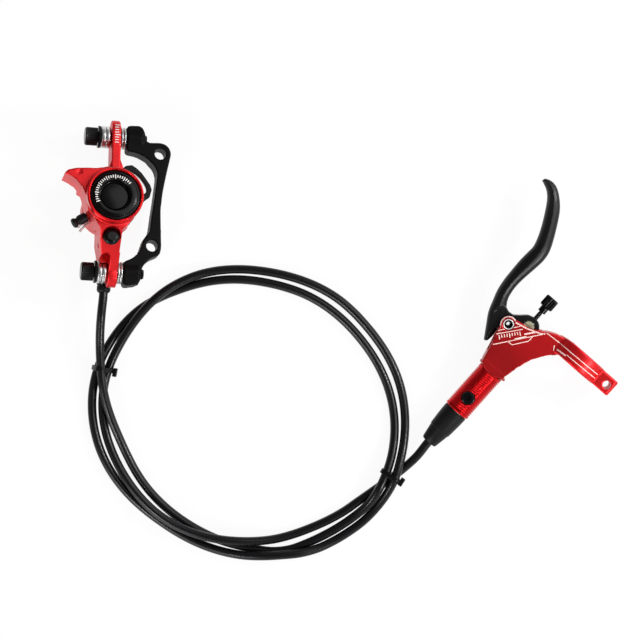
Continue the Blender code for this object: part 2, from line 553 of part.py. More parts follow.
def build_bracket():
    """Black adapter: a C-shaped plate with two threaded posts and two frame holes."""
    up, down = BOLT_UP, BOLT_DOWN
    outline = [(8.8, up + 5.7), (10.0, up + 6.3), (16.3, up + 6.7), (18.4, up + 4.0),
               (19.2, up - 0.5), (19.9, up - 2.6),
               (28.0, 37.0), (31.6, 35.2), (33.2, 31.6), (30.5, 18.5), (28.9, 9.2), (28.0, -0.1),
               (28.6, -16.4), (28.9, -20.5), (28.2, -24.8), (22.7, down + 7.9), (19.2, down + 4.0),
               (18.3, down + 0.7), (18.3, down - 4.0), (16.6, down - 6.3), (10.0, down - 7.5),
               (8.8, down - 6.5), (8.8, down + 5.5), (13.3, down + 7.6), (16.9, -24.3),
               (19.2, -16.5), (22.3, -12.7), (23.2, -3.4), (24.2, 4.1), (25.2, 13.5),
               (25.9, 20.0), (24.0, 24.0), (19.9, 27.8), (14.9, 30.2), (8.8, up - 7.9)]
    high = BRACKET_TOP
    low = BRACKET_TOP - BRACKET_THICKNESS
    bracket = prism("adapter_bracket", rounded(outline, 1.0, 1), low, high, CALIPER, BLACK,
                    bevel=0.5)
    for name, y in (("upper", BOLT_UP), ("lower", BOLT_DOWN)):
        join(bracket, lathe(name + "_post", drum(6.2, 8.8, 17.6, 0.5), CALIPER,
                            start=(0, y, BOLT_LEVEL), direction=(1, 0, 0), sides=28))
    for name, y in (("upper", BOLT_UP), ("lower", BOLT_DOWN)):
        cut(bracket, rod(name + "_thread", (5.0, y, BOLT_LEVEL), (25.0, y, BOLT_LEVEL),
                         BOLT_RADIUS + GAP, CALIPER))
    lower_hole = Vector((23.8, -20.1))
    across = Vector((3.4, 50.9)).normalized() * FRAME_HOLE_SPAN
    for name, hole in (("lower", lower_hole), ("upper", lower_hole + across)):
        cut(bracket, rod(name + "_frame_hole", (*hole, low - 2), (*hole, high + 2), 3.1, CALIPER))


def build_lever_body():
    """Red casting: cylinder barrel, plate with pivot lugs, and the open handlebar clamp."""
    half = PLATE_THICKNESS / 2
    lug = circle(PIVOT, 4.5, 8, 60, 200)
    plate = lug + [(-12.6, 39.0), (-10.2, 29.7), (-8.4, 21.6), (-7.4, 19.7), (6.2, 19.7), (6.6, 21.6),
                   (7.6, 29.3), (11.3, 38.4), (14.5, 44.8),
                   (19.4, 49.9), (24.0, 52.0), (24.0, 58.8), (16.9, 58.6), (8.5, 54.9), (4.9, 52.5),
                   (-2.0, 49.9)]
    body = prism("lever_body", plate, -half, half, LEVER, RED, bevel=0.9)
    clamp_to = CLAMP_FROM + CLAMP_WIDTH
    bar = BAR_DIAMETER / 2
    lug_face = [(40.5, -7.0), (52.9, -7.0), (54.3, -5.6), (54.3, 5.6), (52.9, 7.0), (40.5, 7.0)]
    barrel = [(0, -9.2), (5.9, -9.2), (5.9, 19.3), (8.2, 19.3), (8.8, 19.8), (8.8, 20.4),
              (7.4, 21.4), (0, 21.4)]
    join(body,
         lathe("barrel", barrel, LEVER, direction=(0, 1, 0), sides=32),
         lathe("clamp_ring", drum(bar + CLAMP_WALL, CLAMP_FROM, clamp_to, 0.6), LEVER,
               start=(BAR_CENTRE[0], 0, 0), direction=(0, 1, 0), sides=48),
         prism("clamp_lug", lug_face, CLAMP_FROM + 0.3, clamp_to - 0.3, LEVER, axis="Y", bevel=0.5))
    pocket = circle(PIVOT, 17.8, 36)
    groove = MASTER_BORE + 1.0
    bore = [(0, -12.0), (3.9, -12.0), (3.9, -6.7), (0.9, -6.2), (0.9, -5.0), (MASTER_BORE, -4.6),
            (MASTER_BORE, 26.1), (groove, 26.1), (groove, 27.8), (MASTER_BORE, 27.8),
            (MASTER_BORE, 40.0), (0, 40.0)]
    cut(body,
        prism("blade_pocket", pocket, -4.3, 4.3, LEVER),
        lathe("bar_bore", drum(bar, 40.0, 70.0), LEVER, start=(BAR_CENTRE[0], 0, 0),
              direction=(0, 1, 0), sides=48),
        prism("clamp_slit", [(36.0, -0.7), (60.0, -0.7), (60.0, 0.7), (36.0, 0.7)], 45.0, 65.0,
              LEVER, axis="Y"),
        rod("clamp_bolt_hole", (50.2, 54.6, -12.0), (50.2, 54.6, 12.0), 2.3, LEVER),
        rod("pivot_hole", (*PIVOT, -12.0), (*PIVOT, 12.0), 3.2, LEVER),
        lathe("master_bore", bore, LEVER, direction=(0, 1, 0), sides=26),
        rod("sleeve_screw_hole", (-0.4, 0.5, 4.95), (-0.4, 0.5, 12.0), 1.45, LEVER, 14))
    return body


def build_lever_fixed():
    """Sleeve, its screw, the boot and the hose nut, and the spring and stop in the bore."""
    up = dict(direction=(0, 1, 0))
    sleeve = lathe("cylinder_sleeve", [(6.2, -9.1), (6.9, -9.1), (7.4, -8.6), (7.4, 18.4), (7.0, 19.0),
                                       (6.2, 19.0)], LEVER, RED, closed=True, sides=32, **up)
    cut(sleeve, rod("sleeve_window", (-0.4, 0.5, 4.0), (-0.4, 0.5, 12.0), 3.9, LEVER))
    screw = lathe("sleeve_screw", [(0, 5.1), (1.15, 5.1), (1.15, 6.2), (3.5, 6.2), (3.5, 7.0), (3.1, 7.5),
                                   (0, 7.5)], LEVER, DARK_STEEL, start=(-0.4, 0.5, 0), sides=24)
    cut(screw, hex_socket("sleeve_screw_key", (-0.4, 0.5, 7.5), (0, 0, -1), 2.5, 0.9, LEVER))
    lathe("hose_boot", [(5.0, -9.5), (6.9, -9.5), (6.7, -15.0), (6.0, -23.0), (5.7, -23.4),
                        (4.3, -31.4), (3.9, -32.0), (2.8, -32.0), (2.8, -19.0), (5.0, -17.6)],
          LEVER, RUBBER, closed=True, sides=32, **up)
    lathe("hose_nut_lever", [(0, -6.9), (3.6, -6.9), (3.6, -9.5), (4.6, -9.5), (4.6, -17.0),
                             (4.2, -17.4), (2.8, -17.4), (2.8, -12.0), (0, -12.0)],
          LEVER, BRASS, sides=24, **up)
    coil = []
    for k in range(61):
        turn = 2 * math.pi * k / 12
        coil.append((3.4 * math.cos(turn), -4.2 + 7.6 * k / 60, 3.4 * math.sin(turn)))
    tube("return_spring", coil, 0.4, LEVER, STEEL, 1)
    lathe("piston_stop", hoop(3.0, 5.1, 26.4, 27.5), LEVER, STEEL, closed=True, sides=28, **up)


def build_master():
    """Master piston with its two cups; it slides down the bore ahead of the push rod."""
    up = dict(direction=(0, 1, 0), origin=(0, 31.0, 0))
    lathe("master_piston", [(0, 12.0), (1.5, 12.0), (1.5, 15.2), (4.1, 15.2), (4.1, 17.0),
                            (2.3, 17.0), (2.3, 22.0), (4.1, 22.0), (4.1, 26.0), (2.6, 26.0),
                            (2.6, 31.6), (2.3, 31.6), (0.6, 29.6), (0, 29.4)],
          LEVER, STEEL, sides=28, **up)
    lathe("cup_primary", [(1.8, 12.6), (3.2, 12.6), (4.1, 12.3), (4.1, 14.0), (3.6, 14.9), (1.8, 14.9)],
          LEVER, RUBBER, closed=True, sides=28, **up)
    lathe("cup_secondary", [(2.6, 19.4), (3.4, 19.4), (4.1, 18.9), (4.1, 20.6), (3.8, 21.7),
                            (2.6, 21.7)], LEVER, RUBBER, closed=True, sides=28, **up)


def loft_blade(name, left, right, half, origin):
    """Soft-cornered sections from a left edge to a right edge, thinner at both ends."""
    left = flowing([(x, y, 0.0) for x, y in left], 5.0)
    right = flowing([(x, y, 0.0) for x, y in right], 5.0)
    count = len(left)
    right = flowing(right, sum((b - a).length for a, b in zip(right, right[1:])) / (count - 1))
    bm = bmesh.new()
    rows = []
    for i, (a, b) in enumerate(zip(left, right)):
        ends = min(i, count - 1 - i)
        thick = half * (0.6, 0.85, 0.96, 1.0)[min(ends, 3)]
        row = []
        for k in range(12):
            turn = math.radians(15 + 30 * k)
            across = math.copysign(abs(math.cos(turn)) ** 0.55, math.cos(turn))
            height = math.copysign(abs(math.sin(turn)) ** 0.6, math.sin(turn))
            point = a.lerp(b, 0.5 + 0.5 * across)
            row.append(bm.verts.new((point.x, point.y, thick * height)))
        rows.append(row)
    for low, high in zip(rows, rows[1:]):
        for k in range(12):
            j = (k + 1) % 12
            bm.faces.new((low[k], low[j], high[j], high[k]))
    bm.faces.new(rows[0])
    bm.faces.new(rows[-1])
    return add(name, bm, LEVER, BLACK, origin)


def build_blade():
    """Hand lever: a thick finger blade on a thin hub that swings between the lugs."""
    hub = HUB_THICKNESS / 2
    origin = (*PIVOT, 0.0)
    left = [(-14.4, 29.2), (-18.6, 35.8), (-22.6, 42.2), (-24.9, 48.5), (-26.8, 54.4),
            (-27.8, 61.0), (-28.1, 67.1), (-28.3, 74.0), (-28.0, 80.2), (-27.9, 85.0),
            (-30.4, 92.4), (-34.4, 100.4), (-39.1, 108.1), (-43.0, 111.7), (-47.7, 113.7)]
    right = [(-12.7, 30.4), (-12.3, 34.6), (-13.0, 39.5), (-14.3, 45.0), (-16.8, 50.4),
             (-19.2, 54.3), (-20.4, 60.8), (-20.2, 67.5), (-19.1, 76.2), (-18.6, 83.3),
             (-20.3, 90.5), (-27.0, 103.5), (-31.8, 110.3), (-38.4, 115.7), (-43.5, 116.9),
             (-47.2, 115.6)]
    blade = loft_blade("lever_blade", left, right, BLADE_THICKNESS / 2, origin)
    ring = circle(PIVOT, 10.2, 28)
    cut(blade,
        prism("upper_relief", ring, hub, 12.0, LEVER),
        prism("lower_relief", ring, -12.0, -hub, LEVER))
    lobe = circle(NUT, 5.7, 10, -75, 105) + [(-5.3, 55.2), (-8.9, 52.0), (-11.5, 49.9),
                                             (-14.4, 49.6), (-19.5, 51.5), (-18.5, 40.0)]
    lobe += circle(PIVOT, 6.3, 8, 250, 330) + [(-2.0, 44.0)]
    join(blade, prism("hub", lobe, 0.1 - hub, hub - 0.1, LEVER))
    rod_room = [(-2.2, 0.4), (-2.6, -9.0), (2.4, -9.0), (9.4, -4.0), (2.8, 1.0), (2.4, 9.0),
                (-8.4, 9.0), (-8.4, 3.2)]
    rod_room = [(NUT[0] + x, NUT[1] + y) for x, y in rod_room]
    cut(blade,
        rod("blade_pin_hole", (*PIVOT, -9.0), (*PIVOT, 9.0), 3.25, LEVER),
        rod("nut_hole", (*NUT, -9.0), (*NUT, 9.0), 3.4, LEVER),
        prism("rod_room", rod_room, -1.7, 1.7, LEVER))
    pin = lathe("pivot_pin", drum(2.95, -7.0, 7.0, 0.3), LEVER, STEEL, start=(*PIVOT, 0), sides=28,
                origin=origin)
    cut(pin, rod("pin_recess", (*PIVOT, 5.8), (*PIVOT, 9.0), 1.9, LEVER, 20))
    nut_at = (*NUT, 0.0)
    nut = lathe("barrel_nut", drum(3.1, -3.5, 3.5, 0.3), LEVER, BRASS, start=nut_at, sides=28,
                origin=nut_at)
    slot = [(NUT[0] - 5, NUT[1] - 0.5), (NUT[0] + 5, NUT[1] - 0.5), (NUT[0] + 5, NUT[1] + 0.5),
            (NUT[0] - 5, NUT[1] + 0.5)]
    cut(nut,
        rod("nut_thread", (NUT[0], 40.0, 0), (NUT[0], 60.0, 0), 1.35, LEVER),
        prism("nut_slot", slot, 2.6, 5.0, LEVER))
    x = NUT[0]
    knob = [(0, 32.0), (0.9, 32.2), (1.05, 32.8), (1.05, 60.5), (2.25, 60.8), (2.25, 63.8),
            (3.4, 64.2), (3.75, 64.7), (3.75, 69.8), (3.4, 70.4), (0, 70.4)]
    lathe("reach_screw", knob, LEVER, DARK_STEEL, start=(x, 0, 0), direction=(0, 1, 0), sides=24,
          origin=(x, 60.0, 0.0))


def bundle_outline(centres, radius):
    """Convex outline at a radius round several centres, with arcs of fixed steps."""
    spread = []
    for centre in centres:
        spread += [(centre, math.radians(t)) for t in range(10, 370, 20)]
    points = [Vector((c[0] + radius * math.cos(t), c[1] + radius * math.sin(t))) for c, t in spread]
    hull = convex_hull_2d(points)
    return [(points[i].x, points[i].y) for i in hull]


def eased_apart(route, spacing):
    """Let the strands lie on and beside each other: points too near another turn move off it."""
    line = np.array([list(p) for p in route])
    count = len(line)
    index = np.arange(count)
    apart = np.abs(index[:, None] - index[None, :]) * spacing > 25.0
    loose = np.clip(np.minimum(index - 8, count - 16 - index) / 6.0, 0.0, 1.0)[:, None]
    for _ in range(80):
        away = line[:, None, :] - line[None, :, :]
        distance = np.linalg.norm(away, axis=2) + 1e-9
        short = np.where(apart, np.clip(STRAND_PITCH - distance, 0.0, None), 0.0)
        push = (away / distance[:, :, None] * short[:, :, None])
        weight = np.maximum((short > 0).sum(axis=1), 1)[:, None]
        step = push.sum(axis=1) / weight * 0.5
        step[1:-1] = (step[:-2] + 2 * step[1:-1] + step[2:]) / 4
        line += step * loose
        bend = np.zeros_like(line)
        bend[1:-1] = (line[:-2] + line[2:]) / 2 - line[1:-1]
        line += bend * loose * 0.25
        floor = np.full(count, HOSE_DIAMETER / 2 + 0.1)
        for centre in TIE_CENTRES:
            off = np.linalg.norm(line[:, :2] - np.array(centre), axis=1)
            floor += (TIE_SLACK + TIE_THICKNESS + 0.02) * np.clip(1.7 - off / 8.0, 0.0, 1.0)
        line[:, 2] = np.maximum(line[:, 2], floor)
    return [Vector(p) for p in line.tolist()]


def hose_route():
    """The hose's centre line, straight inside both nuts and smooth between them."""
    lead_in = [CALIPER.matrix_world @ (Vector((PORT[0], -y, PORT[1])) * MM) / MM + Vector(ORIGIN)
               for y in (35.0, 38.0, 41.0, 44.5)]
    lead_out = [LEVER.matrix_world @ (Vector((0.0, y, 0.0)) * MM) / MM + Vector(ORIGIN)
                for y in (-34.0, -31.0, -24.0, -18.0, -12.5)]
    route = flowing(lead_in + [Vector(p) for p in ROUTE[2:-1]] + lead_out, 2.0)
    route = eased_apart(route, 2.0)
    return [p - Vector(ORIGIN) for p in flowing(route, HOSE_STEP)]


def build_tie(name, centre, heading, head_at, route):
    """A cable tie: a band round three strands, with its square head and a cut tail.

    heading is the way that the strands run; head_at is the head's place across and up."""
    centre = Vector(centre) - Vector(ORIGIN)
    forward = Vector((math.cos(math.radians(heading)), math.sin(math.radians(heading)), 0.0))
    side = Vector((-forward.y, forward.x, 0.0))
    strands = []
    for a, b in zip(route, route[1:]):
        before, after = (a - centre).dot(forward), (b - centre).dot(forward)
        if before * after <= 0 and before != after:
            point = a.lerp(b, before / (before - after)) - centre
            if abs(point.dot(side)) < 15.0:
                strands.append((point.dot(side), point.z))
    turn = Matrix.Rotation(math.radians(heading), 3, "Z")
    place = frame(name + "_place", centre + Vector(ORIGIN), turn)
    outer = bundle_outline(strands, HOSE_DIAMETER / 2 + TIE_SLACK + TIE_THICKNESS)
    inner = bundle_outline(strands, HOSE_DIAMETER / 2 + TIE_SLACK)
    tie = prism(name, outer, -1.5, 1.5, place, PLASTIC, axis="X", bevel=0.2)
    across, height = head_at
    away = math.copysign(1.0, across)
    head = [(across - 2.4, height - 2.0), (across + 2.4, height - 2.0), (across + 2.4, height + 2.0),
            (across - 2.4, height + 2.0)]
    near, far = sorted((across, across + away * 4.6))
    tail = [(near, height - 0.6), (far, height - 0.6), (far, height + 0.6), (near, height + 0.6)]
    join(tie,
         prism(name + "_head", head, -2.2, 2.2, place, axis="X", bevel=0.4),
         prism(name + "_tail", tail, -1.2, 1.2, place, axis="X"))
    cut(tie, prism(name + "_inside", inner, -6.0, 6.0, place, axis="X"))


empty_scene()
PARTS = new_collection("disc_brake")
TOOLS = new_collection("cutters")
TOOLS.hide_render = True
CALIPER = frame("caliper_place", CALIPER_AT, resting_turn(*CALIPER_LEANS))
LEVER = frame("lever_place", LEVER_AT,
              Matrix.Rotation(math.radians(LEVER_TURN), 3, "Z")
              @ Matrix.Rotation(math.radians(LEVER_PITCH), 3, "X"))
bpy.context.view_layer.update()

build_caliper_body()
build_caliper_inside()
build_spacer()
build_caliper_fittings()
build_bolts()
build_bracket()
build_lever_body()
build_lever_fixed()
build_master()
build_blade()
HOSE_LINE = hose_route()
tube("hose", HOSE_LINE, HOSE_DIAMETER / 2, None, RUBBER)
build_tie("tie_left", (*TIE_CENTRES[0], 0.0), -101.0, (7.4, 4.4), HOSE_LINE)
build_tie("tie_right", (*TIE_CENTRES[1], 0.0), 57.0, (-6.8, 8.6), HOSE_LINE)
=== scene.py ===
# %% [markdown]
# # A hydraulic disc brake in Blender
# The object is one complete bicycle brake, laid out flat: a red caliper on its black adapter,
# a long hose wound in two loops under two cable ties, and a hand lever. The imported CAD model
# gives every piece its place. This lesson dresses it: finer shapes where the light needs them,
# and a material that says how each surface was made.

# %% The frame
import math

import bmesh
import bpy
import numpy as np
from mathutils import Matrix, Vector
from mathutils.geometry import convex_hull_2d


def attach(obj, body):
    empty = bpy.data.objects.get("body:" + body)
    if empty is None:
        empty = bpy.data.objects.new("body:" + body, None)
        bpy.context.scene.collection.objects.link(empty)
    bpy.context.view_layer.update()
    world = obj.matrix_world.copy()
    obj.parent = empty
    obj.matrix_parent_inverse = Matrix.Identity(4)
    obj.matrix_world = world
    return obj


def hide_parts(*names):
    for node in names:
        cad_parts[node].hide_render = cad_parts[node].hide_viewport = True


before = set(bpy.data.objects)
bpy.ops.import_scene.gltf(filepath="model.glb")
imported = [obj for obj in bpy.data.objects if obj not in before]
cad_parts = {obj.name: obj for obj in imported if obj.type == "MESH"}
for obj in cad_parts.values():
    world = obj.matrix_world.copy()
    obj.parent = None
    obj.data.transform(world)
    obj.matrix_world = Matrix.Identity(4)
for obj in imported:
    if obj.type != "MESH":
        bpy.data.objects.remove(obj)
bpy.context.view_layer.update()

# %% [markdown]
# ## Two tilted workbenches
# The caliper leans on its bolt heads and the lever lies on its clamp, so neither is square to
# the table. Each is drawn square to its own axes, in millimetres, and one matrix carries it to
# the table. The object itself stays at the origin, with its place in its mesh, so that a
# pattern on Object coordinates keeps its place.

# %% From millimetres to the table
MM = 0.001
ORIGIN = Vector((11.54, 19.53, 0.0))


def placed(at, turn):
    """A matrix from a unit's own millimetres to metres on the table."""
    return Matrix.Scale(MM, 4) @ Matrix.Translation(Vector(at) - ORIGIN) @ turn.to_4x4()


def leaning(right, up, roll):
    """Axes that lean right and up by two angles, and are rolled to the right."""
    z = Vector((math.sin(math.radians(right)), math.sin(math.radians(up)), 0.0))
    z.z = math.sqrt(1 - z.x ** 2 - z.y ** 2)
    y = Vector((math.sin(math.radians(roll)), math.cos(math.radians(roll)), 0.0))
    y = (y - z * y.dot(z)).normalized()
    return Matrix((y.cross(z), y, z)).transposed()


def turned_by(angle, axis):
    """A turn by an angle in degrees round one axis."""
    return Matrix.Rotation(math.radians(angle), 3, axis)


CALIPER = placed((-111.29, 61.54, 27.76), leaning(right=15.0, up=9.0, roll=2.9))
LEVER = placed((79.86, -42.06, 10.16), turned_by(-41.2, "Z") @ turned_by(5.5, "X"))
print("workbenches in metres:", [tuple(round(v, 3) for v in m.translation) for m in (CALIPER, LEVER)])

# %% [markdown]
# ## Camera, floor and light
# The photograph looks straight down from about 0.9 m. A long lens keeps the outlines true, and
# the small parallax that it leaves shows the left side walls of the caliper.

# %% The camera
SENSOR_WIDTH = 36.0
LENS = 93.1
CAMERA_HEIGHT = 0.905
camera_data = bpy.data.cameras.new("camera")
camera_data.sensor_width = SENSOR_WIDTH
camera_data.lens = LENS
camera = bpy.data.objects.new("camera", camera_data)
camera.location = (-ORIGIN.x * MM, -ORIGIN.y * MM, CAMERA_HEIGHT)
bpy.context.scene.collection.objects.link(camera)
bpy.context.scene.camera = camera
bpy.context.scene.view_settings.view_transform = "Standard"
print("camera height in metres:", CAMERA_HEIGHT)

# %% [markdown]
# ## One way to make a material
# Colours are picked from the object as sRGB hex values, and the shader wants linear light, so
# one function turns them. One more adds a node with its settings and its links, which keeps
# each material below as short as its description.

# %% Colour and node helpers


def linear(colour):
    """A hex colour such as c8161c as linear red, green, blue and alpha."""
    parts = [int(colour[i:i + 2], 16) / 255 for i in (0, 2, 4)]
    return tuple(p / 12.92 if p <= 0.04045 else ((p + 0.055) / 1.055) ** 2.4 for p in parts) + (1.0,)


def add_node(tree, kind, inputs=(), **settings):
    """A node with its settings, and its inputs as values or as other nodes' outputs."""
    node = tree.nodes.new("ShaderNode" + kind)
    for name, value in settings.items():
        setattr(node, name, value)
    for name, value in dict(inputs).items():
        if isinstance(value, bpy.types.NodeSocket):
            tree.links.new(value, node.inputs[name])
        else:
            node.inputs[name].default_value = value
    return node


def new_material(name):
    """An empty material and its node tree."""
    material = bpy.data.materials.new(name)
    material.use_nodes = True
    material.node_tree.nodes.clear()
    return material, material.node_tree


def finish_of(name, base, patches, patch, grain, relief, roughness, spread=0.08, metallic=0.0,
              **constants):
    """A surface with broad patches of a second colour, and a fine grain in its height and gloss.

    The widths of a patch and of a grain, and the grain's relief, are in millimetres."""
    material, tree = new_material(name)
    here = add_node(tree, "TexCoord").outputs["Object"]
    broad = add_node(tree, "TexNoise", {"Vector": here, "Scale": 1 / (patch * MM), "Detail": 3.0})
    ramp = add_node(tree, "ValToRGB", {"Fac": broad.outputs["Fac"]})
    for stop, position, colour in zip(ramp.color_ramp.elements, (0.35, 0.65), (patches, base)):
        stop.position = position
        stop.color = linear(colour)
    fine = add_node(tree, "TexNoise", {"Vector": here, "Scale": 1 / (grain * MM), "Detail": 2.0})
    gloss = add_node(tree, "MapRange", {"Value": fine.outputs["Fac"], "To Min": roughness - spread,
                                        "To Max": roughness + spread})
    bump = add_node(tree, "Bump", {"Height": fine.outputs["Fac"], "Strength": 0.5,
                                   "Distance": relief * MM})
    shader = add_node(tree, "BsdfPrincipled", {
        "Base Color": ramp.outputs["Color"], "Roughness": gloss.outputs["Result"],
        "Normal": bump.outputs["Normal"], "Metallic": metallic, **constants})
    add_node(tree, "OutputMaterial", {"Surface": shader.outputs["BSDF"]})
    return material


# %% [markdown]
# ## The finishes
# Red pieces are forged aluminium, blasted with fine beads and anodised: the dye is clear, so
# the metal shines through it. Their grain is really about 0.1 mm and is drawn at 0.35 mm,
# because a finer one would not show. The black adapter and blade are anodised too, but the dye
# hides the metal. Bolts are steel with black oxide, washers are zinc plated, the two small pins
# are a brighter zinc, and the cross nut is brass under dull nickel. The hose is a smooth
# extruded plastic, glossier than the rubber boot and caps, and the brake lining is sintered.

# %% The finishes as materials
SPECULAR = "Specular IOR Level"
ANODISED_RED = {"base": "dc181d", "patches": "c8151a", "patch": 20, "grain": 0.35, "relief": 0.02,
                "roughness": 0.36, "metallic": 0.65}
RED = finish_of("red_anodised_aluminium", **ANODISED_RED)
RED_TURNED = finish_of("red_anodised_turned_face", "d0161b", "c01419", patch=20, grain=0.3,
                       relief=0.004, roughness=0.2, spread=0.04, metallic=0.9)
BLACK = finish_of("black_anodised_aluminium", "050505", "080808", patch=20, grain=0.35,
                  relief=0.02, roughness=0.42, **{SPECULAR: 0.07})
BLADE = finish_of("black_anodised_blade", "080707", "0c0b0b", patch=20, grain=0.35,
                  relief=0.01, roughness=0.34, **{SPECULAR: 0.3})
ZINC = finish_of("zinc_plated_steel", "d8d8d6", "c4c5c6", patch=6, grain=0.3,
                 relief=0.01, roughness=0.27, metallic=1.0)
OXIDE = finish_of("black_oxide_steel", "050506", "09090a", patch=8, grain=0.3,
                  relief=0.004, roughness=0.2, spread=0.04, **{SPECULAR: 0.16})
BRIGHT = finish_of("bright_zinc_plated_wire", "ecedea", "dcdedc", patch=6, grain=0.3,
                   relief=0.01, roughness=0.45, metallic=0.7)
BRASS = finish_of("nickel_plated_brass", "c8cab2", "aeb096", patch=3, grain=0.3,
                  relief=0.01, roughness=0.5, metallic=0.5)
NYLON = finish_of("black_nylon", "060607", "0a0a0b", patch=10, grain=0.4,
                  relief=0.01, roughness=0.34, **{SPECULAR: 0.16})
JACKET = finish_of("extruded_hose_jacket", "08080a", "0c0c0f", patch=30, grain=0.6,
                   relief=0.01, roughness=0.26, spread=0.05, **{SPECULAR: 0.32})
RUBBER = finish_of("moulded_rubber", "08080a", "0e0e10", patch=10, grain=0.4,
                   relief=0.02, roughness=0.45, **{SPECULAR: 0.2})
FRICTION = finish_of("sintered_brake_lining", "4a443d", "6a5a45", patch=1.2, grain=0.4,
                     relief=0.06, roughness=0.85)

CAD_FINISHES = {
    "red_anodised": RED,
    "black_anodised": BLACK,
    "bare_steel": ZINC,
    "black_steel": OXIDE,
    "plated_brass": BRASS,
    "black_plastic": NYLON,
    "black_rubber": RUBBER,
    "brake_lining": FRICTION,
}
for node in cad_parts.values():
    for slot in node.material_slots:
        for title, material in CAD_FINISHES.items():
            if slot.material and title in slot.material.name:
                slot.material = material
print("finishes of CAD nodes:", len(CAD_FINISHES))

# %% [markdown]
# ## Painted shade towards the sleeve
# The lever has the same red, with painted shade that makes it darker near the sleeve than
# along the clamp arm. A share that rises along the table's x axis, in metres, scales the colour
# on its way into the shader.

# %% The lever's red, with painted shade
# Painted shade: the red is scaled darker towards the sleeve than along the clamp arm.
SHADE_FROM, SHADE_TO, SHADE_SHARE = 0.09, 0.115, 0.64
RED_PAINTED_SHADE = finish_of("red_anodised_painted_shade", **ANODISED_RED)
tree = RED_PAINTED_SHADE.node_tree
here = add_node(tree, "SeparateXYZ", {"Vector": add_node(tree, "TexCoord").outputs["Object"]})
share = add_node(tree, "MapRange", {"Value": here.outputs["X"], "From Min": SHADE_FROM,
                                    "From Max": SHADE_TO, "To Min": SHADE_SHARE, "To Max": 1.0})
coat = next(node for node in tree.nodes if node.type == "BSDF_PRINCIPLED").inputs["Base Color"]
painted_shade = add_node(tree, "VectorMath", {0: coat.links[0].from_socket,
                                       "Scale": share.outputs["Result"]}, operation="SCALE")
tree.links.new(painted_shade.outputs["Vector"], coat)
print("shade of the lever's red near the sleeve:", SHADE_SHARE)

# %% [markdown]
# ## Floor and lamps
# The floor is a plain sheet that a straight look sees as white, and that still takes a soft
# shadow. Two wide lamps and a pale world light the metal from all sides, and three small lamps
# put the short glints on ribs, rims and round heads. The room is darker up and to the left.

# %% The floor
FLOOR_SIZE = 3.0
FLOOR_WHITE = 0.92
bm = bmesh.new()
bmesh.ops.create_grid(bm, x_segments=1, y_segments=1, size=FLOOR_SIZE)
floor_mesh = bpy.data.meshes.new("floor")
bm.to_mesh(floor_mesh)
bm.free()
floor = bpy.data.objects.new("floor", floor_mesh)
bpy.context.scene.collection.objects.link(floor)

floor_look, tree = new_material("white_floor")
rays = add_node(tree, "LightPath").outputs
seen = add_node(tree, "Math", {0: rays["Is Camera Ray"], 1: rays["Is Glossy Ray"]}, operation="MAXIMUM")
seen = add_node(tree, "Math", {0: seen.outputs[0], 1: rays["Is Transmission Ray"]}, operation="MAXIMUM")
share = add_node(tree, "Math", {0: seen.outputs[0], 1: FLOOR_WHITE}, operation="MULTIPLY")
paper = add_node(tree, "BsdfDiffuse", {"Color": linear("f2f2f2")})
white = add_node(tree, "Emission", {"Color": linear("ffffff"), "Strength": 1.0})
mixed = add_node(tree, "MixShader", {0: share.outputs[0], 1: paper.outputs[0], 2: white.outputs[0]})
add_node(tree, "OutputMaterial", {"Surface": mixed.outputs[0]})
floor_mesh.materials.append(floor_look)
print("floor width in metres:", 2 * FLOOR_SIZE)

# %% The room
HORIZON = 1.0
ZENITH = 0.14
DARK_SIDE = (-0.7, 0.7, 0.0)
DARK_SHARE = 0.8
world = bpy.data.worlds.new("pale_room")
world.use_nodes = True
tree = world.node_tree
direction = add_node(tree, "TexCoord").outputs["Generated"]
rise = add_node(tree, "SeparateXYZ", {"Vector": direction}).outputs["Z"]
level = add_node(tree, "MapRange", {"Value": rise, "From Min": 0.0, "From Max": 1.0,
                                    "To Min": HORIZON, "To Max": ZENITH})
facing = add_node(tree, "VectorMath", {0: direction, 1: DARK_SIDE}, operation="DOT_PRODUCT")
dimmed = add_node(tree, "MapRange", {"Value": facing.outputs["Value"], "From Min": 0.0, "From Max": 1.0,
                                     "To Min": 1.0, "To Max": 1.0 - DARK_SHARE})
level = add_node(tree, "Math", {0: level.outputs["Result"], 1: dimmed.outputs["Result"]},
                 operation="MULTIPLY")
background = tree.nodes["Background"]
background.inputs["Color"].default_value = linear("ffffff")
tree.links.new(level.outputs["Value"], background.inputs["Strength"])
bpy.context.scene.world = world
print("room's light from the horizon to overhead:", HORIZON, ZENITH)

# %% The lamps


def lamp(name, at, size, power):
    """A square lamp that looks at the middle of the object."""
    data = bpy.data.lights.new(name, "AREA")
    data.size = size
    data.energy = power
    made = bpy.data.objects.new(name, data)
    made.location = at
    made.rotation_euler = (-Vector(at)).to_track_quat("-Z", "Y").to_euler()
    bpy.context.scene.collection.objects.link(made)
    print(name, "power in watts:", power)


lamp("key_lamp", (0.75, 0.3, 0.75), size=1.1, power=7.0)
lamp("low_lamp", (-0.7, -0.8, 0.45), size=0.7, power=4.0)
lamp("right_glint", (0.8, -0.65, 0.9), size=0.14, power=6.0)
lamp("side_glint", (0.98, 0.28, 0.8), size=0.14, power=5.0)
lamp("left_glint", (-0.6, -0.65, 0.85), size=0.12, power=2.5)

# %% [markdown]
# ## The hose
# A brake hose is a stiff tube about 5 mm thick. Between the caliper's collar and the lever's
# boot the photograph shows all of it, two loops and a bit, so its length is the one that is
# drawn. A curve with a round bevel is the right tool: one line is the hose, and its thickness
# stays even however it bends. The strands are first drawn where they were seen, then eased
# apart until they lie on and beside each other.

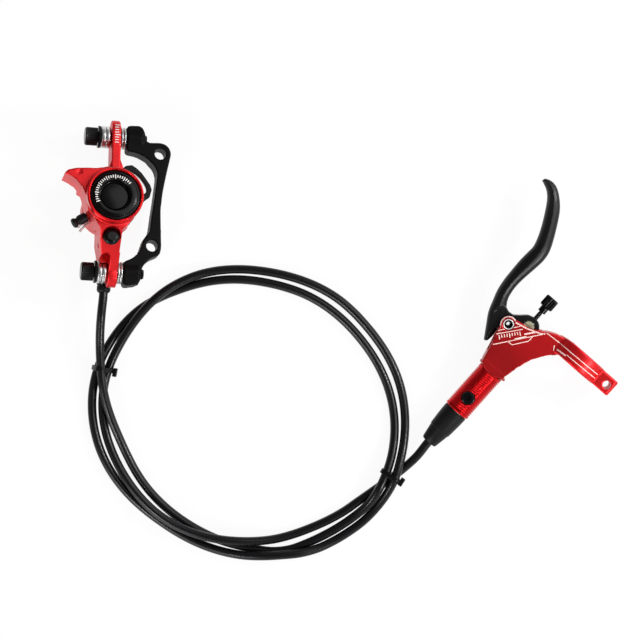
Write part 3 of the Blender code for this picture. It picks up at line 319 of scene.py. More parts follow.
# %% Points that the hose follows
HOSE_DIAMETER = 4.8
STRAND_PITCH = 5.2
PORT = (0.6, -21.0)
TIE_CENTRES = ((-118.8, -26.6), (38.9, -85.0))
TIE_ROOM = 1.72
ROUTE = [
    # out of the caliper and down to the left tie, on top of the bundle
    (-116.1, 14.4, 15.3), (-116.4, 11.3, 15.9), (-117.1, 6.4, 16.0), (-118.1, 0.0, 14.9),
    (-118.9, -7.5, 12.6), (-119.3, -16.2, 9.9), (-118.8, -22.7, 8.9), (-118.5, -26.7, 8.8),
    # first strand, along the bottom and up through the right tie
    (-118.2, -32.5, 8.3), (-117.4, -40.1, 7.8), (-115.8, -48.3, 7.0), (-112.9, -55.4, 5.3),
    (-110.6, -61.5, 3.6), (-107.8, -68.2, 2.5), (-103.3, -78.0, 2.5), (-98.3, -87.2, 2.5),
    (-91.6, -95.4, 2.5), (-84.5, -102.5, 2.5), (-77.4, -108.1, 2.5), (-69.8, -112.9, 2.5),
    (-61.1, -117.8, 2.5), (-54.5, -120.5, 2.5), (-48.0, -122.5, 2.5), (-39.3, -124.1, 2.5),
    (-31.6, -126.2, 2.5), (-25.1, -127.5, 2.5), (-18.5, -126.9, 2.5), (-12.0, -124.9, 2.5),
    (-6.0, -122.0, 2.5), (0.0, -119.0, 2.5), (6.5, -115.5, 2.5), (13.6, -111.2, 2.5),
    (19.9, -107.1, 2.6), (25.0, -102.4, 3.8), (28.8, -97.8, 6.0), (31.4, -93.5, 7.8),
    (34.0, -88.8, 8.8), (36.4, -84.1, 9.0),
    # inner top arc, back to the left tie
    (38.1, -79.2, 8.2), (39.7, -72.8, 5.6), (40.8, -65.9, 3.2), (41.3, -58.9, 2.5),
    (40.8, -50.7, 2.5), (39.2, -42.0, 2.5), (36.3, -33.0, 2.5), (31.5, -23.0, 2.5),
    (25.6, -14.2, 2.5), (18.5, -5.5, 2.5), (8.7, 4.1, 2.5), (-2.8, 11.8, 2.5),
    (-10.9, 15.8, 2.5), (-30.1, 20.9, 2.5), (-45.8, 22.6, 2.5), (-61.4, 21.7, 2.5),
    (-70.9, 19.1, 2.5), (-77.1, 16.7, 2.5), (-84.5, 13.9, 2.5), (-91.6, 10.9, 2.5),
    (-99.2, 6.0, 2.5), (-105.8, 0.1, 2.5), (-112.1, -8.2, 2.5), (-117.0, -15.8, 2.5),
    (-119.9, -21.5, 3.7), (-121.3, -26.4, 4.15),
    # outer strand, over the first one at the bottom, to the right tie
    (-122.9, -31.4, 3.7), (-124.4, -37.8, 2.8), (-124.9, -45.3, 2.5), (-123.9, -57.7, 2.5),
    (-119.9, -72.4, 2.5), (-113.0, -84.9, 2.5), (-104.4, -95.7, 2.5), (-96.0, -103.3, 2.5),
    (-87.7, -109.4, 2.5), (-80.2, -114.5, 2.5), (-73.1, -118.9, 2.5), (-66.5, -121.9, 2.5),
    (-60.0, -124.5, 2.5), (-53.4, -126.6, 3.0), (-46.3, -127.8, 4.3), (-39.1, -128.3, 5.5),
    (-32.0, -128.1, 6.9), (-24.9, -127.7, 7.6), (-17.4, -127.3, 7.6), (-10.9, -126.6, 6.6),
    (-4.9, -125.6, 5.0), (1.1, -123.8, 3.4), (9.3, -119.8, 2.5), (16.4, -115.1, 2.5),
    (23.2, -110.3, 2.5), (29.2, -104.7, 2.7), (33.7, -98.5, 4.2), (37.2, -92.8, 7.0),
    (39.5, -89.2, 8.7), (41.3, -85.9, 9.4),
    # outer top arc, over the inner one, to the left tie
    (42.2, -81.7, 9.5), (43.6, -76.9, 8.6), (45.0, -71.7, 6.0), (46.2, -66.4, 3.8),
    (46.8, -60.5, 2.6), (46.8, -53.4, 2.5), (45.8, -42.1, 2.5), (43.4, -33.0, 2.5),
    (39.5, -23.4, 2.5), (34.4, -14.6, 2.5), (27.8, -5.9, 2.5), (17.4, 5.7, 2.5),
    (10.3, 12.1, 2.5), (-2.8, 19.3, 2.5), (-10.9, 22.4, 2.5), (-24.9, 26.0, 2.5),
    (-40.5, 28.0, 2.5), (-50.9, 27.9, 2.6), (-59.4, 26.7, 3.3), (-66.6, 24.9, 4.6),
    (-73.9, 21.9, 6.0), (-80.8, 18.3, 7.2), (-86.8, 14.5, 7.6), (-92.2, 9.8, 7.6),
    (-96.8, 4.5, 7.1), (-101.5, -1.1, 6.4), (-105.5, -7.0, 5.7), (-109.0, -13.1, 5.0),
    (-112.2, -18.8, 4.5), (-114.5, -23.2, 4.3), (-116.2, -27.2, 4.15),
    # last strand, over the first one and under the right tie's upper pair, to the lever
    (-117.6, -32.1, 3.7), (-118.6, -38.2, 2.8), (-119.2, -44.7, 2.5), (-119.0, -51.3, 2.5),
    (-118.2, -58.3, 2.5), (-113.6, -72.2, 3.2), (-110.5, -78.6, 4.3), (-106.8, -84.7, 5.4),
    (-102.6, -90.7, 6.5), (-97.6, -96.8, 7.2), (-91.1, -103.6, 7.5), (-84.0, -108.7, 7.6),
    (-77.0, -112.5, 7.6), (-70.0, -115.5, 7.5), (-62.4, -117.9, 7.4), (-54.8, -119.5, 7.3),
    (-46.7, -120.3, 7.2), (-39.1, -120.4, 6.7), (-32.6, -120.5, 5.2), (-26.1, -120.2, 3.5),
    (-19.6, -119.0, 2.6), (-13.1, -116.6, 2.5), (-7.1, -114.2, 2.5), (-1.2, -112.0, 2.5),
    (4.9, -109.3, 2.5), (11.1, -106.1, 2.5), (17.2, -102.1, 2.5), (23.2, -97.8, 2.6),
    (30.0, -92.9, 3.2), (35.6, -89.6, 3.9), (38.2, -87.6, 4.2), (40.1, -85.3, 4.2),
    (42.0, -83.3, 4.2), (45.2, -80.9, 4.4),
    (49.5, -77.2, 5.0), (53.8, -72.6, 6.2), (58.9, -67.2, 7.1),
]


def flowing(points, spacing):
    """Evenly spaced points on a smooth curve through the given ones."""
    points = [Vector(p) for p in points]
    padded = [points[0] * 2 - points[1]] + points + [points[-1] * 2 - points[-2]]
    dense = []
    for p0, p1, p2, p3 in zip(padded, padded[1:], padded[2:], padded[3:]):
        for k in range(12):
            t = k / 12
            dense.append(0.5 * (2 * p1 + (p2 - p0) * t + (2 * p0 - 5 * p1 + 4 * p2 - p3) * t ** 2
                                + (3 * p1 - p0 - 3 * p2 + p3) * t ** 3))
    dense.append(points[-1])
    total = sum((b - a).length for a, b in zip(dense, dense[1:]))
    count = max(2, round(total / spacing))
    step = total / count
    result = [dense[0]]
    walked = 0.0
    for a, b in zip(dense, dense[1:]):
        length = (b - a).length
        while len(result) < count and walked + length >= step * len(result):
            result.append(a.lerp(b, (step * len(result) - walked) / length))
        walked += length
    result.append(dense[-1])
    return result


# %% [markdown]
# Where two turns come nearer than the strand pitch, both give way a little, round after round,
# and a share of each bend is taken out again, as a stiff hose would. Under a tie the strands
# stay high enough for the tie to pass below them. All the numbers here are millimetres, counts
# of points or shares.

# %% Turns eased apart
FAR_ALONG = 25.0
HELD_START, HELD_END, RELEASE = 8, 16, 6.0
EASING_ROUNDS = 80
STIFFNESS = 0.25
TABLE_GAP = 0.1
TIE_FLAT, TIE_REACH = 1.7, 8.0


def eased_apart(route, spacing):
    """Points too near another turn of the hose move off it, and none goes through the table.

    Both ends are held, and only points that are far apart along the hose push each other."""
    line = np.array([list(p) for p in route])
    count = len(line)
    index = np.arange(count)
    apart = np.abs(index[:, None] - index[None, :]) * spacing > FAR_ALONG
    from_ends = np.minimum(index - HELD_START, count - HELD_END - index)
    loose = np.clip(from_ends / RELEASE, 0.0, 1.0)[:, None]
    for _ in range(EASING_ROUNDS):
        away = line[:, None, :] - line[None, :, :]
        distance = np.linalg.norm(away, axis=2) + 1e-9
        short = np.where(apart, np.clip(STRAND_PITCH - distance, 0.0, None), 0.0)
        push = away / distance[:, :, None] * short[:, :, None]
        weight = np.maximum((short > 0).sum(axis=1), 1)[:, None]
        step = push.sum(axis=1) / weight * 0.5
        step[1:-1] = (step[:-2] + 2 * step[1:-1] + step[2:]) / 4
        line += step * loose
        bend = np.zeros_like(line)
        bend[1:-1] = (line[:-2] + line[2:]) / 2 - line[1:-1]
        line += bend * loose * STIFFNESS
        floor_level = np.full(count, HOSE_DIAMETER / 2 + TABLE_GAP)
        for centre in TIE_CENTRES:
            off = np.linalg.norm(line[:, :2] - np.array(centre), axis=1)
            floor_level += TIE_ROOM * np.clip(TIE_FLAT - off / TIE_REACH, 0.0, 1.0)
        line[:, 2] = np.maximum(line[:, 2], floor_level)
    return [Vector(p) for p in line.tolist()]


# %% The hose as a curve
EASING_STEP, CORNER_STEP, LINE_STEP = 2.0, 10.0, 2.5


def on_table(place, point):
    """A unit's own point in the table's millimetres, before the origin is taken off."""
    return place @ Vector(point) / MM + ORIGIN


lead_in = [on_table(CALIPER, (PORT[0], -y, PORT[1])) for y in (35.0, 38.0, 41.0, 44.5)]
lead_out = [on_table(LEVER, (0.0, y, 0.0)) for y in (-34.0, -31.0, -24.0, -18.0, -12.5)]
rough = flowing(lead_in + [Vector(p) for p in ROUTE[2:-1]] + lead_out, EASING_STEP)
eased = eased_apart(rough, EASING_STEP)
corners = [p - ORIGIN for p in flowing(eased, CORNER_STEP)]
hose_line = flowing(corners, LINE_STEP)

hose_curve = bpy.data.curves.new("hose_line", "CURVE")
hose_curve.dimensions = "3D"
hose_curve.bevel_depth = HOSE_DIAMETER / 2 * MM
hose_curve.bevel_resolution = 6
hose_curve.use_fill_caps = True
spline = hose_curve.splines.new("POLY")
spline.points.add(len(hose_line) - 1)
for knot, point in zip(spline.points, hose_line):
    knot.co = (*(point * MM), 1.0)
spline.use_smooth = True
hose = bpy.data.objects.new("hose_jacket", hose_curve)
bpy.context.scene.collection.objects.link(hose)
hose_curve.materials.append(JACKET)
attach(hose, "base")
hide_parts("hose")

# %% [markdown]
# ## Turned pieces
# Caps, bolts, washers, the boot and the ribbed sleeve all come off a lathe. In Blender that is
# bmesh's spin: half a profile, carried once round its axis. A small bevel on each sharp edge
# stands for the deburred rim, which is what catches the light on a real part.

# %% Helpers for turned pieces
SLOT_OF = {material.name: slot for slot, material in CAD_FINISHES.items()}
SLOT_OF.update({RED_TURNED.name: "red_anodised", RED_PAINTED_SHADE.name: "red_anodised",
                BLADE.name: "black_anodised", BRIGHT.name: "bare_steel"})
print("finishes with a material slot:", len(SLOT_OF))


def along(start, direction):
    """A matrix that carries the z axis onto a line through a start point."""
    turn = Vector(direction).to_track_quat("Z", "Y").to_matrix().to_4x4()
    return Matrix.Translation(Vector(start)) @ turn


def spun(profile, closed=False, sides=64):
    """A profile of (radius, height) points, carried once round the z axis."""
    bm = bmesh.new()
    row = [bm.verts.new((radius, 0.0, height)) for radius, height in profile]
    ends = row[1:] + row[:1] if closed else row[1:]
    edges = [bm.edges.new(pair) for pair in zip(row, ends)]
    bmesh.ops.spin(bm, geom=row + edges, cent=(0, 0, 0), axis=(0, 0, 1), dvec=(0, 0, 0),
                   angle=math.tau, steps=sides, use_merge=True, use_duplicate=False)
    bmesh.ops.remove_doubles(bm, verts=bm.verts, dist=0.001)
    bmesh.ops.recalc_face_normals(bm, faces=bm.faces)
    return bm


def softened(bm, width, segments=2):
    """Bevel every edge that turns by more than 30 degrees."""
    sharp = [edge for edge in bm.edges
             if len(edge.link_faces) == 2 and edge.calc_face_angle() > math.radians(30)]
    bmesh.ops.bevel(bm, geom=sharp, offset=width, segments=segments, profile=0.5, material=-1,
                    affect="EDGES", clamp_overlap=True)
    return bm


def solid(outline, low, high, bevel=0.0):
    """An outline on the plane, drawn out between two heights, with softened edges."""
    bm = bmesh.new()
    base = bm.faces.new([bm.verts.new((x, y, low)) for x, y in outline])
    grown = bmesh.ops.extrude_face_region(bm, geom=[base])["geom"]
    raised = [part for part in grown if isinstance(part, bmesh.types.BMVert)]
    bmesh.ops.translate(bm, verts=raised, vec=(0, 0, high - low))
    bmesh.ops.recalc_face_normals(bm, faces=bm.faces)
    return softened(bm, bevel, 3) if bevel else bm


def shaded(mesh):
    """Smooth shading that keeps edges above 35 degrees crisp."""
    mesh.shade_smooth()
    mesh.set_sharp_from_angle(angle=math.radians(35))


def piece(name, bm, place, body, finish, *stands_for):
    """An object from a bmesh in a unit's own millimetres, riding on a body."""
    bm.transform(place)
    bmesh.ops.recalc_face_normals(bm, faces=bm.faces)
    mesh = bpy.data.meshes.new(name)
    bm.to_mesh(mesh)
    bm.free()
    mesh.materials.append(finish)
    shaded(mesh)
    made = bpy.data.objects.new(name, mesh)
    bpy.context.scene.collection.objects.link(made)
    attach(made, body)
    if stands_for:
        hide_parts(*stands_for)
    return made


def made_real(made):
    """Apply a piece's modifiers, so that none is left live on it."""
    graph = bpy.context.evaluated_depsgraph_get()
    mesh = bpy.data.meshes.new_from_object(made.evaluated_get(graph))
    made.modifiers.clear()
    made.data = mesh
    shaded(mesh)
    return made


def combined(made, operation, bm, place):
    """Join a bmesh's shape to a piece, or take it out."""
    bm.transform(place)
    bmesh.ops.recalc_face_normals(bm, faces=bm.faces)
    mesh = bpy.data.meshes.new("tool")
    bm.to_mesh(mesh)
    bm.free()
    tool = bpy.data.objects.new("tool", mesh)
    bpy.context.scene.collection.objects.link(tool)
    modifier = made.modifiers.new("tool", "BOOLEAN")
    modifier.operation = operation
    modifier.solver = "EXACT"
    modifier.object = tool
    made_real(made)
    bpy.data.objects.remove(tool)
    return made


def bar(sides, radius, low, high):
    """A straight bar across the z axis, for key holes and bores."""
    return solid([(radius * math.cos(math.tau * k / sides), radius * math.sin(math.tau * k / sides))
                  for k in range(sides)], low, high)


# %% [markdown]
# ## The cylinder cap
# The black cap screws into the ring of the caliper. Its face is turned in steps: a narrow rim,
# a flat band, and a deep dish in the middle. Each step has a small chamfer, and the narrow
# slope round the band makes the pale arc on the right. The band carries plain white ticks.

# %% The cap and its ring
cap_profile = [(0, 16.6), (12.4, 16.6), (13.0, 17.2), (13.0, 20.4), (12.6, 20.8), (11.7, 20.8),
               (11.4, 21.28), (10.6, 21.45), (10.5, 21.5), (8.5, 21.5), (7.9, 20.9), (7.9, 17.9),
               (7.5, 17.7), (7.1, 17.9), (6.8, 18.2), (0, 18.3)]
piece("cap", softened(spun(cap_profile, sides=96), 0.1), CALIPER, "base", OXIDE, "cylinder_cap")
ring_profile = [(13.3, 17.4), (14.75, 17.4), (14.75, 21.35), (14.2, 22.05), (13.75, 22.05),
                (13.3, 21.6)]
piece("ring", softened(spun(ring_profile, True, 96), 0.12), CALIPER, "base", RED_TURNED)
print("points in the profiles of cap and ring:", len(cap_profile), len(ring_profile))

# %% [markdown]
# ## Printed and etched marks, and a painted highlight
# Marks on the cap, the ear and the lever are thin: paint on the black parts, and lines that a
# laser burnt through the dye on the red ones. One pale line along the lever's lug edge, in the
# etched colour, is a painted highlight on the bevel. Small flat bars on the surface are enough,
# each turned to its own line, because light never shows their thickness.

# %% Marks
PAINT = finish_of("white_pad_print", "e9e6e2", "dcd8d4", patch=4, grain=0.3,
                  relief=0.005, roughness=0.5)
# The etched colour also draws a painted highlight along the lever's lug edge.
ETCH_AND_EDGE_HIGHLIGHT = finish_of("laser_etched_lines_and_painted_edge_highlight", "f6dcd5", "eec3bb", patch=4, grain=0.3,
                 relief=0.005, roughness=0.45)
MARK_WIDTH, MARK_THICKNESS = 0.5, 0.1
LONG_EVERY = 4
CAP_TOP = 21.5
CAP_TICKS, FIRST_TURN, TICK_TURN = 24, 204, 7.0
EAR_TICKS, FIRST_RISE, TICK_RISE = 9, 33.4, 1.4
ARM_RADIUS, ARM_LEVEL, EAR_END = 7.1, -10.0, 41.3


def mark(bm, start, end, width, up=(0, 0, 1)):
    """A thin flat bar on a surface, from one point to another."""
    start, end = Vector(start), Vector(end)
    reach = end - start
    x = reach.normalized()
    y = Vector(up).cross(x).normalized()
    turn = Matrix((x, y, x.cross(y))).transposed().to_4x4()
    size = Matrix.Diagonal((reach.length + width * 0.6, width, MARK_THICKNESS, 1.0))
    bmesh.ops.create_cube(bm, size=1.0, matrix=Matrix.Translation((start + end) / 2) @ turn @ size)


bm = bmesh.new()
lift = Vector((0, 0, CAP_TOP))
for step in range(CAP_TICKS):
    turn = math.radians(FIRST_TURN - TICK_TURN * step)
    inner, outer = (9.3, 10.4) if step % LONG_EVERY else (8.8, 10.6)
    way = Vector((math.cos(turn), math.sin(turn), 0))
    mark(bm, way * inner + lift, way * outer + lift, MARK_WIDTH)
piece("cap_graduation", bm, CALIPER, "base", PAINT)

bm = bmesh.new()
for step in range(EAR_TICKS):
    y = FIRST_RISE + TICK_RISE * step
    past_end = max(0.0, y - EAR_END)
    drop = math.sqrt(ARM_RADIUS ** 2 - past_end ** 2)
    out = Vector((0, past_end, drop)).normalized()
    at = Vector((0, y, ARM_LEVEL + drop)) + out * 0.02
    reach = 4.1 if step % LONG_EVERY else 4.8
    mark(bm, at + Vector((2.3, 0, 0)), at + Vector((reach, 0, 0)), MARK_WIDTH, out)
piece("ear_graduation", bm, CALIPER, "base", PAINT)
print("ticks on the caliper:", CAP_TICKS + EAR_TICKS)

# %% [markdown]
# ## Castings
# The caliper body, the lever body and the adapter are forged or cast, then milled, so no edge
# on them is sharp. Their solids are already right. A copy is rebuilt in even small cells, and a
# few rounds of smoothing melt its edges by about a cell, which no bevel does cleanly on the
# many-sided meshes that Booleans leave.

# %% Castings from their solids


def melted(made, cell, rounds):
    """Rebuild a piece in even cells and smooth it, so that its edges go round."""
    remesh = made.modifiers.new("cells", "REMESH")
    remesh.mode = "VOXEL"
    remesh.voxel_size = cell * MM
    ease = made.modifiers.new("ease", "SMOOTH")
    ease.factor = 0.5
    ease.iterations = rounds
    return made_real(made)


def cast(name, node, cell, rounds, finish):
    """A copy of a node with every edge rounded by about one cell, in millimetres."""
    bm = bmesh.new()
    bm.from_mesh(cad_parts[node].data)
    bmesh.ops.remove_doubles(bm, verts=bm.verts, dist=0.00001)
    made = melted(piece(name, bm, Matrix.Identity(4), "base", finish, node), cell, rounds)
    print(name, "faces:", len(made.data.polygons))
    return made


caliper = cast("caliper_casting", "caliper_body", cell=0.4, rounds=5, finish=RED)
cast("adapter", "adapter_bracket", cell=0.4, rounds=5, finish=BLACK)
# The lever's casting carries the red with painted shade near the sleeve.
lever = cast("lever_casting", "lever_body", cell=0.38, rounds=4, finish=RED_PAINTED_SHADE)
spacer = cast("spacer", "pad_spacer", cell=0.3, rounds=5, finish=NYLON)

# %% [markdown]
# ## Milled flats on the castings
# Some places get a crisper shape than the rounded copies have. On the caliper the lower ear
# runs on from the sloping face of the arm, and the back half is set in on the left.

# %% The caliper's ear and left side


def arc(centre, radius, first, last, steps):
    """Points of an arc, by angles in degrees."""
    turns = [math.radians(first + (last - first) * k / steps) for k in range(steps + 1)]
    return [(centre[0] + radius * math.cos(t), centre[1] + radius * math.sin(t)) for t in turns]


EAR_LEFT, EAR_RIGHT = 0.6, 5.4
sideways = CALIPER @ Matrix(((0, 0, 1, 0), (1, 0, 0, 0), (0, 1, 0, 0), (0, 0, 0, 1)))
ear = [(-27.0, 6.0), (-31.6, 1.7)] + arc((-36.3, -10.0), 6.8, 82, 270, 20) + [(-27.0, -16.8)]
combined(caliper, "UNION", solid(ear, EAR_LEFT, EAR_RIGHT, 0.5), sideways)
washer_room = [(-9.0, -28.6), (-4.4, -28.6), (-2.4, -27.4), (-0.9, -27.4), (0.2, -28.4),
               (0.5, -30.0), (0.5, -50.0), (-9.0, -50.0)]
combined(caliper, "DIFFERENCE", solid(washer_room, -4.4, 9.0), CALIPER)
back_step = [(-30.0, 6.6), (-16.8, 6.6), (-14.2, 5.2), (-12.9, 2.0), (-12.4, -2.0), (-11.6, -6.0),
             (-10.6, -9.5), (-10.4, -11.2), (-8.2, -12.9), (-6.0, -14.0), (-5.35, -15.5),
             (-5.35, -30.0), (-30.0, -30.0)]
combined(caliper, "DIFFERENCE", solid(back_step, -14.0, -2.0), CALIPER)
print("caliper faces after milling:", len(caliper.data.polygons))

# %% [markdown]
# The spacer's finger loop is trimmed to a rounder outside. On the lever the clamp ring starts
# behind the plate along a milled corner, and the plate ends in a tongue that lies over the
# ribbed sleeve and its flange.

# %% Finger loop, clamp corner and tongue
outside = [(7.4, 21.0), (10.9, 21.7), (13.6, 20.1), (16.4, 17.6), (18.7, 14.6), (21.0, 11.5),
           (21.9, 8.9), (20.9, 4.9), (18.0, 2.6), (18.0, -4.0), (40.0, -4.0), (40.0, 40.0),
           (0.0, 40.0), (5.0, 22.0)]
combined(spacer, "DIFFERENCE", solid(outside, -4.0, 4.0), CALIPER)

corner = [(8.0, 55.8), (12.8, 57.9), (16.4, 58.8), (20.0, 59.4), (24.0, 59.7), (24.0, 62.0),
          (8.0, 62.0)]
combined(lever, "DIFFERENCE", solid(corner, -16.0, 16.0), LEVER)
valley = [(4.9, 52.2), (8.1, 55.2), (12.8, 57.5), (16.4, 58.4), (19.0, 58.6), (19.0, 52.0),
          (8.0, 50.0)]
combined(lever, "UNION", solid(valley, -7.4, 7.4, 0.6), LEVER)
flange_room = [(-9.5, 18.5), (9.5, 18.5), (9.5, 22.3), (-9.5, 22.3)]
combined(lever, "DIFFERENCE", solid(flange_room, 6.2, 12.0), LEVER)
tongue = [(-8.2, 20.2), (-5.5, 18.8), (-2.8, 18.0), (0.0, 17.9), (2.1, 18.4), (4.4, 19.4),
          (6.6, 20.6), (6.6, 22.6), (-8.2, 22.6)]
combined(lever, "UNION", softened(solid(tongue, 6.0, 7.5), 0.3, 1), LEVER)
print("lever faces after milling:", len(lever.data.polygons))

# %% [markdown]
# ## Cable ties
# Each tie is a flat nylon band drawn tight round three turns of the hose. Its outline is the
# shortest loop round the circles where the hose passes through it, which is their convex hull.
# The head sits beside the outer strand, and the tail is cut off flush.

# %% The ties
TIE_WIDTH, TIE_BAND, TIE_PLAY = 2.6, 0.8, 0.2
HEAD_NEAR, HEAD_FAR, HEAD_HALF = 0.2, 2.4, 1.9
HEAD_BACK, HEAD_FRONT = -1.8, 2.9
BUNDLE_REACH = 15.0


def hull(strands, radius):
    """The loop round circles of one radius, given by their middles."""
    rims = [Vector(point) for strand in strands for point in arc(strand, radius, 0, 345, 23)]
    return [tuple(rims[i]) for i in convex_hull_2d(rims)]


def tie(name, node, centre, heading, side):
    """A band round the strands that run along a heading, with its head on one side."""
    forward = Vector((math.cos(math.radians(heading)), math.sin(math.radians(heading)), 0.0))
    across = Vector((-forward.y, forward.x, 0.0))
    middle = Vector((*centre, 0.0)) - ORIGIN
    strands = []
    for a, b in zip(hose_line, hose_line[1:]):
        before, after = (a - middle).dot(forward), (b - middle).dot(forward)
        if before * after <= 0 and before != after:
            point = a.lerp(b, before / (before - after)) - middle
            if abs(point.dot(across)) < BUNDLE_REACH:
                strands.append((point.dot(across), point.z))
    turn = Matrix((across, Vector((0, 0, 1)), forward)).transposed().to_4x4()
    place = Matrix.Scale(MM, 4) @ Matrix.Translation(middle) @ turn
    inside = HOSE_DIAMETER / 2 + TIE_PLAY
    band = solid(hull(strands, inside + TIE_BAND), -TIE_WIDTH / 2, TIE_WIDTH / 2, 0.2)
    made = piece(name, band, place, "base", NYLON, node)
    combined(made, "DIFFERENCE", solid(hull(strands, inside), -5.0, 5.0), place)
    outermost = max(strands, key=lambda strand: side * strand[0])
    near, far = (outermost[0] + side * (inside + reach) for reach in (HEAD_NEAR, HEAD_FAR))
    low, high = outermost[1] - HEAD_HALF, outermost[1] + HEAD_HALF
    head = solid([(near, low), (far, low), (far, high), (near, high)], HEAD_BACK, HEAD_FRONT, 0.4)
    print(name, "holds strands:", len(strands))
    return combined(made, "UNION", head, place)


left_tie = tie("left_tie", "tie_left", TIE_CENTRES[0], heading=-101.0, side=1)
right_tie = tie("right_tie", "tie_right", TIE_CENTRES[1], heading=57.0, side=-1)

# %% [markdown]
# ## Bolts and washers
# Each ear is clamped between ball-faced washers, so that the caliper can tilt a little before
# the bolt is tight. The socket heads are knurled for the fingers: 36 ridges, made by moving
# every second column of the head's side inwards.

# %% Bolts
BOLT_HEIGHTS = {"upper": 38.9, "lower": -35.1}
COLUMNS = 72
THREAD_PITCH = 0.8
WASHER_RADIUS = 6.0


def fluted(bm, shares, beyond, low=-100.0, high=100.0):
    """Scale the columns of a round side by a repeating row of shares, beyond a radius."""
    for vertex in bm.verts:
        column = round(math.atan2(vertex.co.y, vertex.co.x) / math.tau * COLUMNS)
        if vertex.co.xy.length > beyond and low < vertex.co.z < high:
            vertex.co.xy *= shares[column % len(shares)]
    return bm


def washer(low, high, rim, foot):
    """A turned washer between two heights, with a bevelled rim above and a set-in foot below."""
    profile = [(3.3, low), (WASHER_RADIUS - foot, low), (WASHER_RADIUS, low + 0.2),
               (WASHER_RADIUS, high - rim), (WASHER_RADIUS - rim, high), (3.3, high)]
    return softened(spun(profile, True, COLUMNS), 0.08)


for name, y in BOLT_HEIGHTS.items():
    line = CALIPER @ along((0, y, ARM_LEVEL), (1, 0, 0))
    profile = [(0, -13.3), (4.3, -13.3), (4.9, -12.7), (4.9, -12.3), (4.9, -7.3), (4.9, -6.7),
               (3.0, -6.6), (3.0, 16.6)]
    for thread in range(4):
        profile += [(3.0, 16.8 + THREAD_PITCH * thread), (2.6, 17.2 + THREAD_PITCH * thread)]
    bm = spun(profile + [(2.4, 20.1), (0, 20.1)], sides=COLUMNS)
    fluted(bm, (1.0, 0.945), beyond=4.8, low=-12.5, high=-7.0)
    bolt = piece(name + "_bolt", bm, line, "base", OXIDE, "bolt_" + name)
    combined(bolt, "DIFFERENCE", bar(6, 2.89, -15.0, -9.7), line)
    serrated = fluted(washer(-6.3, -4.9, 0.3, 0.1), (0.95, 1.0, 1.0), beyond=5.5)
    piece("serrated_washer_" + name, serrated, line, "base", OXIDE, "washer_flange_" + name)
    for side, low, high, rim, foot, node in (
            ("outer_left", -4.6, -2.4, 0.3, 0.1, "washer_dished_{}_left"),
            ("inner_left", -2.1, 0.3, 0.9, 0.1, "washer_domed_{}_left"),
            ("inner_right", 5.7, 7.0, 0.3, 0.8, "washer_domed_{}_right"),
            ("outer_right", 7.3, 8.5, 0.3, 0.1, "washer_dished_{}_right")):
        piece(side + "_washer_" + name, washer(low, high, rim, foot), line, "base", ZINC,
              node.format(name))
print("bolts:", len(BOLT_HEIGHTS))

# %% [markdown]
# ## Screws, bleed nipple and split pin
# The body screw has a low button head with a hexagon in it. The bleed nipple has a rubber cap
# with a ball end to pull it by. The split pin is one bent steel wire, so it is a curve.

# %% Small caliper parts
screw_line = CALIPER @ along((-0.35, -20.2, 0), (0, 0, 1))
head = [(0, 4.0), (2.2, 4.0), (2.2, 11.3), (4.3, 11.3), (4.35, 12.0), (4.1, 12.7), (3.5, 13.3),
        (2.7, 13.7), (2.1, 13.8), (0, 13.8)]
screw = piece("button_screw", spun(head), screw_line, "base", OXIDE, "body_screw")
combined(screw, "DIFFERENCE", bar(6, 1.73, 12.1, 15.0), screw_line)
combined(screw, "DIFFERENCE", spun([(0, 13.1), (1.5, 13.1), (2.5, 14.3), (0, 14.3)]), screw_line)

nipple_line = CALIPER @ along((-11.9, -8.3, 5.0), (-0.85, -0.53, 0.0))
nipple = [(0, -1.3), (1.6, -1.3), (1.6, 2.2), (2.6, 2.2), (2.6, 3.6), (1.5, 3.7), (1.3, 4.9),
          (0.8, 5.3), (0, 5.3)]
piece("nipple", softened(spun(nipple), 0.1), nipple_line, "base", ZINC, "bleed_nipple")
dust_cap = [(0, 5.5), (1.4, 5.4), (1.7, 3.9), (2.4, 3.8), (2.4, 1.3), (2.7, 1.5), (2.7, 5.2),
            (2.5, 5.8), (2.05, 6.3), (1.95, 6.7), (2.1, 7.2), (2.55, 7.7), (2.7, 8.3), (2.6, 8.9),
            (2.2, 9.4), (1.6, 9.5), (1.1, 9.1), (0.9, 8.6), (0, 8.4)]
piece("dust_cap", spun(dust_cap), nipple_line, "base", RUBBER, "bleed_cap")

collar_line = CALIPER @ along((PORT[0], 0, PORT[1]), (0, -1, 0))
collar = [(2.6, 40.5), (3.5, 40.5), (3.7, 40.8), (3.7, 42.8), (3.4, 43.6), (3.0, 44.0), (2.6, 44.0)]
piece("hose_collar", spun(collar, True), collar_line, "base", RUBBER, "hose_collar_caliper")
nut = [(2.7, 30.7), (3.6, 30.7), (3.9, 31.0), (3.9, 39.4), (3.5, 40.2), (2.7, 40.2)]
piece("hose_nut", softened(spun(nut, True, 6), 0.1), collar_line, "base", OXIDE)
print("screw, nipple and hose end made")

# %% The split pin


def wire(name, points, radius, place, body, finish, *stands_for):
    """A round wire through points, from a bevelled curve that becomes a mesh."""
    curve = bpy.data.curves.new(name, "CURVE")
    curve.dimensions = "3D"
    curve.bevel_depth = radius
    curve.bevel_resolution = 4
    curve.use_fill_caps = True
    path = curve.splines.new("POLY")
    path.points.add(len(points) - 1)
    for knot, point in zip(path.points, points):
        knot.co = (*point, 1.0)
    holder = bpy.data.objects.new(name + "_path", curve)
    bpy.context.scene.collection.objects.link(holder)
    bm = bmesh.new()
    bm.from_mesh(bpy.data.meshes.new_from_object(holder))
    bpy.data.objects.remove(holder)
    bmesh.ops.remove_doubles(bm, verts=bm.verts, dist=0.001)
    return piece(name, bm, place, body, finish, *stands_for)


